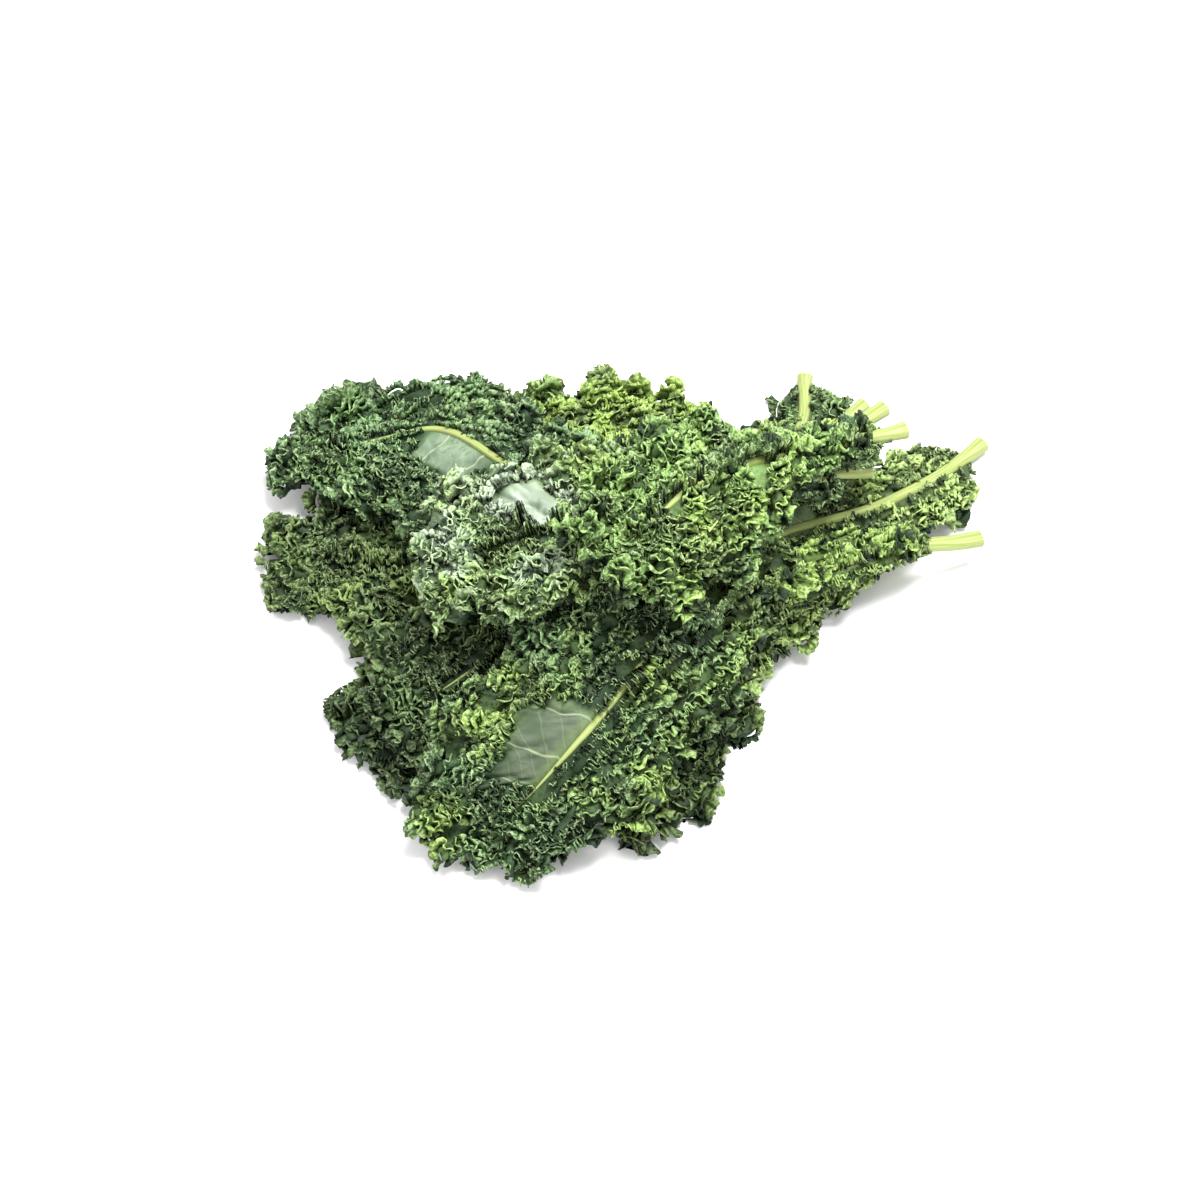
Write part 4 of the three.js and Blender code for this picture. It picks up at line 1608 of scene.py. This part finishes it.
        # The side veins lie at even shares of the margin, and their twigs run out beside them.
        bend = tree.math("MULTIPLY", tree.math("SUBTRACT", tree.noise(place, self.VEIN_BENDS), 0.5), 0.9)
        turn = tree.math("ADD", tree.math("MULTIPLY", tree.value("share"), SIDE_VEINS), bend)
        away = tree.math("ABSOLUTE", tree.math("SUBTRACT", tree.math("FRACT", turn), 0.5))
        side = tree.math("MULTIPLY", tree.fall(away, 0.0, 0.04), 0.7)
        twigs = tree.math("ADD", tree.math("MULTIPLY", turn, 2.0), tree.math("MULTIPLY", level, 7.0))
        away = tree.math("ABSOLUTE", tree.math("SUBTRACT", tree.math("FRACT", twigs), 0.5))
        twigs = tree.math("MULTIPLY", tree.fall(away, 0.0, 0.07), 0.15)
        veins = tree.math("MULTIPLY", tree.math("MAXIMUM", side, twigs), tree.fall(level, 0.2, 0.8))
        tree.feed(result, "Veins", veins)
        # The flesh between them is streaked and clouded.
        along = tree.math("MULTIPLY", tree.value("share"), self.STREAKS_ALONG)
        out = tree.math("MULTIPLY", level, self.STREAKS_OUT)
        streaks = tree.add("CombineXYZ", X=along, Y=out).outputs["Vector"]
        streaks = tree.ramp(tree.noise(streaks, 1.0, 3.0), 0.42, 0.66)
        cloud = tree.math("MULTIPLY", tree.ramp(tree.noise(place, self.CLOUDS, 3.0), 0.4, 0.65), 0.6)
        tree.feed(result, "Cloud", tree.math("MAXIMUM", cloud, tree.math("MULTIPLY", streaks, 0.5)))
        tree.feed(result, "Beside", tree.fall(level, 0.0, 0.1))
        tree.feed(result, "Beyond", tree.ramp(level, 0.12, 0.5))
        return tree.tree


@dataclass(frozen=True)
class LeafFinish:
    """The look of a blade. Each colour is linear red, green and blue, and 1.

    root and flesh are the depth and the face of a frill, root being a painted shade, tips the painted
    highlight on its edge, and young the colour that some of its clumps turn to, and all of them up to
    fresh, a share of the margin. bloom is the waxy grey-green of the bare parts and of waxy, a share
    of the clumps. vein is a vein, dusk is how far the bare blade darkens towards the frills, a painted
    shadow of the frills, and shade is how light the whole leaf is: partly its own tone, and partly
    painted shade on low leaves and painted light on the top ones.
    """

    name: str
    root: Colour = (0.008, 0.022, 0.007, 1.0)
    flesh: Colour = (0.205, 0.330, 0.110, 1.0)
    tip_highlight: Colour = (0.430, 0.550, 0.275, 1.0)
    young: Colour = (0.290, 0.430, 0.085, 1.0)
    bloom: Colour = (0.120, 0.175, 0.105, 1.0)
    vein: Colour = (0.290, 0.360, 0.200, 1.0)
    waxy: float = 0.3
    fresh: float = -0.2
    frill_shadow: float = 0.5
    shade: float = 1.0

    SHADOW = 0.22

    def tone(self, colour: Colour) -> Colour:
        """Returns one of the colours times shade, which is partly painted light and shade."""
        return (*(value * self.shade for value in colour[:3]), 1.0)

    def shadow(self) -> Colour:
        """Returns the painted shade of the flesh deep between two clumps."""
        return (*(value * self.SHADOW * self.shade for value in self.flesh[:3]), 1.0)

    def tinted(self, tree: Tree, effects: Effects) -> bpy.types.NodeSocket:
        """Returns the drifting colour of the leaf."""
        return tree.group(
            effects.tint, Flesh=self.tone(self.flesh), Young=self.tone(self.young),
            Bloom=self.tone(self.bloom), Waxy=self.waxy, Fresh=self.fresh,
        )["Colour"]

    def frills(self, effects: Effects) -> bpy.types.Material:
        """Builds the material of the frills."""
        made, tree, shader = start_material(f"{self.name}_frills")
        flesh = self.tinted(tree, effects)
        curls = tree.group(effects.curls)
        # The creases, the roots and the holes get painted shade, and the edges a painted highlight.
        flesh = tree.mix(curls["Dome"], self.shadow(), flesh)
        root = tree.mix(tree.math("MULTIPLY", curls["Dome"], 0.5), self.root, flesh)
        colour = tree.mix(curls["Depth"], root, flesh)
        colour = tree.mix(tree.math("MULTIPLY", curls["Holes"], 0.6), colour, self.root)
        colour = tree.mix(curls["Rim"], colour, self.tone(self.tip_highlight))
        tree.feed(shader, "Base Color", colour)
        return made

    def sheet(self, effects: Effects) -> bpy.types.Material:
        """Builds the material of the sheet under the frills."""
        made, tree, shader = start_material(f"{self.name}_sheet")
        flesh, bare = self.tinted(tree, effects), tree.value("bloom")
        curls = tree.group(effects.curls)
        # Under the frills the sheet is painted nearly black, a painted shade that stands for their shadow,
        # darkest in the holes.
        under = tree.mix(tree.math("MULTIPLY", curls["Holes"], 0.8), flesh, self.root)
        under = tree.mix(0.75, under, self.root)
        sheet = tree.group(effects.veins)
        smooth = tree.mix(tree.math("MULTIPLY", sheet["Beside"], 0.16), flesh, self.tone(self.young))
        # Clouds and streaks darken the bare blade towards the painted shade: partly a mottle of its own,
        # and partly the shade in its wrinkles.
        smooth = tree.mix(tree.math("MULTIPLY", sheet["Cloud"], 0.85), smooth, self.shadow())
        # Towards the frills the bare blade takes a painted shadow, as far as dusk says.
        smooth = tree.mix(tree.math("MULTIPLY", sheet["Beyond"], self.frill_shadow), smooth, self.shadow())
        smooth = tree.mix(sheet["Veins"], smooth, self.tone(self.vein))
        tree.feed(shader, "Base Color", tree.mix(tree.ramp(bare, 0.2, 0.8), under, smooth))
        return made


@dataclass(frozen=True)
class StalkFinish:
    """The look of a stalk: pale yellow-green, smooth and a little glossy."""

    name: str
    colour: Colour = (0.220, 0.285, 0.068, 1.0)
    pale: Colour = (0.350, 0.400, 0.155, 1.0)
    cut: Colour = (0.430, 0.470, 0.290, 1.0)

    FIBRES_ROUND = 2.4
    FIBRES_ALONG = 5.0
    FIBRES = 1.6
    ROUGHNESS = 0.42

    def material(self) -> bpy.types.Material:
        """Builds the material."""
        made, tree, shader = start_material(self.name)
        round_it = tree.math("MULTIPLY", tree.value("turn"), self.FIBRES_ROUND)
        along = tree.math("MULTIPLY", tree.value("share"), self.FIBRES_ALONG)
        place = tree.add("CombineXYZ", X=round_it, Y=along).outputs["Vector"]
        fibres = tree.ramp(tree.noise(place, self.FIBRES, 3.0), 0.35, 0.65)
        colour = tree.mix(fibres, self.colour, self.pale)
        tree.feed(shader, "Base Color", tree.mix(tree.value("cut"), colour, self.cut))
        tree.feed(shader, "Roughness", self.ROUGHNESS)
        return made


LEAF_ROUGHNESS = 0.6
LEAF_SPECULAR = 0.25


def start_material(name: str) -> tuple[bpy.types.Material, Tree, bpy.types.Node]:
    """Starts a material for something fresh and leafy.

    Returns:
        The material, its tree and its shader.
    """
    made = bpy.data.materials.new(name)
    made.use_nodes = True
    tree = Tree(made.node_tree)
    shader = made.node_tree.nodes["Principled BSDF"]
    tree.feed(shader, "Roughness", LEAF_ROUGHNESS)
    tree.feed(shader, "Specular IOR Level", LEAF_SPECULAR)
    return made, tree, shader


@dataclass(frozen=True)
class Lamp:
    """A soft square light aimed at the origin: its place and size in metres, its power in watts."""

    name: str
    place: tuple[float, float, float]
    size: float
    power: float

    def hang(self) -> None:
        """Puts the light in the scene."""
        light = bpy.data.lights.new(self.name, "AREA")
        light.size = self.size
        light.energy = self.power
        lamp = bpy.data.objects.new(self.name, light)
        lamp.location = self.place
        lamp.rotation_euler = (-Vector(self.place)).to_track_quat("-Z", "Y").to_euler()
        bpy.context.scene.collection.objects.link(lamp)


class Studio:
    """The pale floor, the soft lights and the camera.

    Sizes and places are in metres, but the camera's target is in millimetres on the plan.
    """

    FLOOR_HALF = 6.0
    FLOOR_DROP = 0.0003
    FLOOR_COLOUR = (0.9, 0.9, 0.9, 1)
    FLOOR_ROUGHNESS = 0.9
    SKY = 1.12
    LAMPS = (
        Lamp("key", (0.3, 0.25, 1.7), 0.7, 56.0),
        Lamp("fill", (-1.2, -1.0, 1.0), 1.0, 7.5),
    )
    LENS = 85.0
    SENSOR = 36.0
    DISTANCE = 1.64
    ELEVATION = math.radians(60)
    TARGET = (-15.0, 19.4, 0.0)

    def floor(self) -> None:
        """Makes the floor."""
        bm = bmesh.new()
        bmesh.ops.create_grid(bm, x_segments=1, y_segments=1, size=self.FLOOR_HALF)
        mesh = bpy.data.meshes.new("floor")
        bm.to_mesh(mesh)
        bm.free()
        floor = bpy.data.objects.new("floor", mesh)
        floor.location.z = -self.FLOOR_DROP
        bpy.context.scene.collection.objects.link(floor)
        paint = bpy.data.materials.new("floor")
        paint.use_nodes = True
        shader = paint.node_tree.nodes["Principled BSDF"]
        shader.inputs["Base Color"].default_value = self.FLOOR_COLOUR
        shader.inputs["Roughness"].default_value = self.FLOOR_ROUGHNESS
        mesh.materials.append(paint)

    def lights(self) -> None:
        """Lights the scene from all round, and hangs one light above and a weak one at the left."""
        bpy.context.scene.view_settings.view_transform = "Standard"
        world = bpy.data.worlds.new("studio")
        bpy.context.scene.world = world
        world.use_nodes = True
        sky = world.node_tree.nodes["Background"]
        sky.inputs["Color"].default_value = (1, 1, 1, 1)
        sky.inputs["Strength"].default_value = self.SKY
        for lamp in self.LAMPS:
            lamp.hang()

    def camera(self, shift: np.ndarray) -> None:
        """Sets the camera, which looks down on the bunch from in front of it."""
        lens = bpy.data.cameras.new("camera")
        lens.lens = self.LENS
        lens.sensor_width = self.SENSOR
        camera = bpy.data.objects.new("camera", lens)
        target = Vector((np.array(self.TARGET) + shift) * METRES)
        away = Vector((0.0, -math.cos(self.ELEVATION), math.sin(self.ELEVATION)))
        camera.location = target + away * self.DISTANCE
        camera.rotation_euler = (-away).to_track_quat("-Z", "Y").to_euler()
        bpy.context.scene.collection.objects.link(camera)
        bpy.context.scene.camera = camera


PALE_BLOOM = (0.385, 0.450, 0.375, 1.0)
# Each leaf's shade is partly its own tone and partly painted light and shade: most low leaves are painted
# darker, and the top ones lighter.
FINISHES = {
    finish.name: finish
    for finish in (
        LeafFinish("leaf_01", shade=0.5),
        LeafFinish("leaf_02", shade=0.6),
        LeafFinish("leaf_03", shade=1.0),
        LeafFinish("leaf_04", flesh=(0.205, 0.310, 0.085, 1.0), shade=0.75),
        LeafFinish("leaf_05", young=(0.340, 0.500, 0.075, 1.0), fresh=0.7, shade=1.1),
        LeafFinish("leaf_06", shade=0.6),
        LeafFinish("leaf_07", flesh=(0.280, 0.450, 0.120, 1.0), young=(0.400, 0.560, 0.150, 1.0),
                   fresh=0.6, shade=1.05),
        LeafFinish("leaf_08", flesh=(0.130, 0.240, 0.090, 1.0), young=(0.320, 0.480, 0.095, 1.0),
                   bloom=(0.092, 0.116, 0.076, 1.0), fresh=0.33, frill_shadow=0.8),
        LeafFinish("leaf_09", flesh=(0.118, 0.238, 0.088, 1.0), young=(0.150, 0.270, 0.080, 1.0),
                   bloom=(0.230, 0.300, 0.205, 1.0), vein=(0.420, 0.480, 0.300, 1.0), frill_shadow=0.35),
        LeafFinish("leaf_10", bloom=PALE_BLOOM, waxy=0.7, frill_shadow=0.1, shade=1.15),
        LeafFinish("leaf_11", flesh=(0.195, 0.340, 0.080, 1.0), young=(0.310, 0.460, 0.085, 1.0),
                   bloom=(0.165, 0.270, 0.095, 1.0), vein=(0.230, 0.320, 0.140, 1.0), shade=1.1),
    )
}


class KaleBunch:
    """The whole bunch."""

    def __init__(self) -> None:
        """Lays the leaves on the table, one after another."""
        pile = Pile()
        self.leaves = [Leaf(plan, pile) for plan in LEAVES]
        self.shift = self.find_shift()

    def find_shift(self) -> np.ndarray:
        """Returns the way from the plan of the bunch to the frame, in millimetres."""
        shifts = []
        for leaf in self.leaves:
            solid = np.array([list(corner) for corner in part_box(f"{leaf.plan.name}_blade")])
            points = []
            for half in leaf.halves:
                distance = np.linspace(0.0, half.total, SOLID_COLUMNS + 1)[:, None]
                level = np.array(SOLID_ROWS)[None, :]
                points.append(leaf.sheet(half, *np.broadcast_arrays(distance, level)).reshape(-1, 3))
            points = np.concatenate(points)
            own = (points.min(axis=0) + points.max(axis=0)) / 2
            shifts.append(solid.mean(axis=0) / METRES - own)
        return np.median(shifts, axis=0) * (1, 1, 0)

    def build(self) -> None:
        """Makes every piece of the bunch, from the highest leaf to the lowest."""
        stalk = StalkFinish("stalk").material()
        effects = Effects()
        cover = Cover()
        faces = 0
        for number, leaf in reversed(list(enumerate(self.leaves))):
            blade = Blade(leaf, number, cover)
            rib = Stalk(leaf).build(stalk, self.shift)
            for piece in (rib, *blade.build(FINISHES[leaf.plan.name], effects, self.shift)):
                triangles = triangle_count(piece)
                faces += triangles
                log.info("%s: %d triangles", piece.name, triangles)
            cover.add(blade.cover_points())
        log.info("the whole bunch: %d triangles", faces)


def triangle_count(piece: bpy.types.Object) -> int:
    """Returns how many triangles a piece has with its modifiers."""
    made = piece.evaluated_get(bpy.context.evaluated_depsgraph_get()).data
    return sum(len(face.vertices) - 2 for face in made.polygons)


def main() -> None:
    """Builds the bunch around its solids, and sets the stage for it."""
    logging.basicConfig(level=logging.INFO, format="%(name)s %(message)s")
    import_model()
    bunch = KaleBunch()
    log.info("shift %s", bunch.shift)
    bunch.build()
    studio = Studio()
    studio.floor()
    studio.lights()
    studio.camera(bunch.shift)


if __name__ == "__main__":
    main()
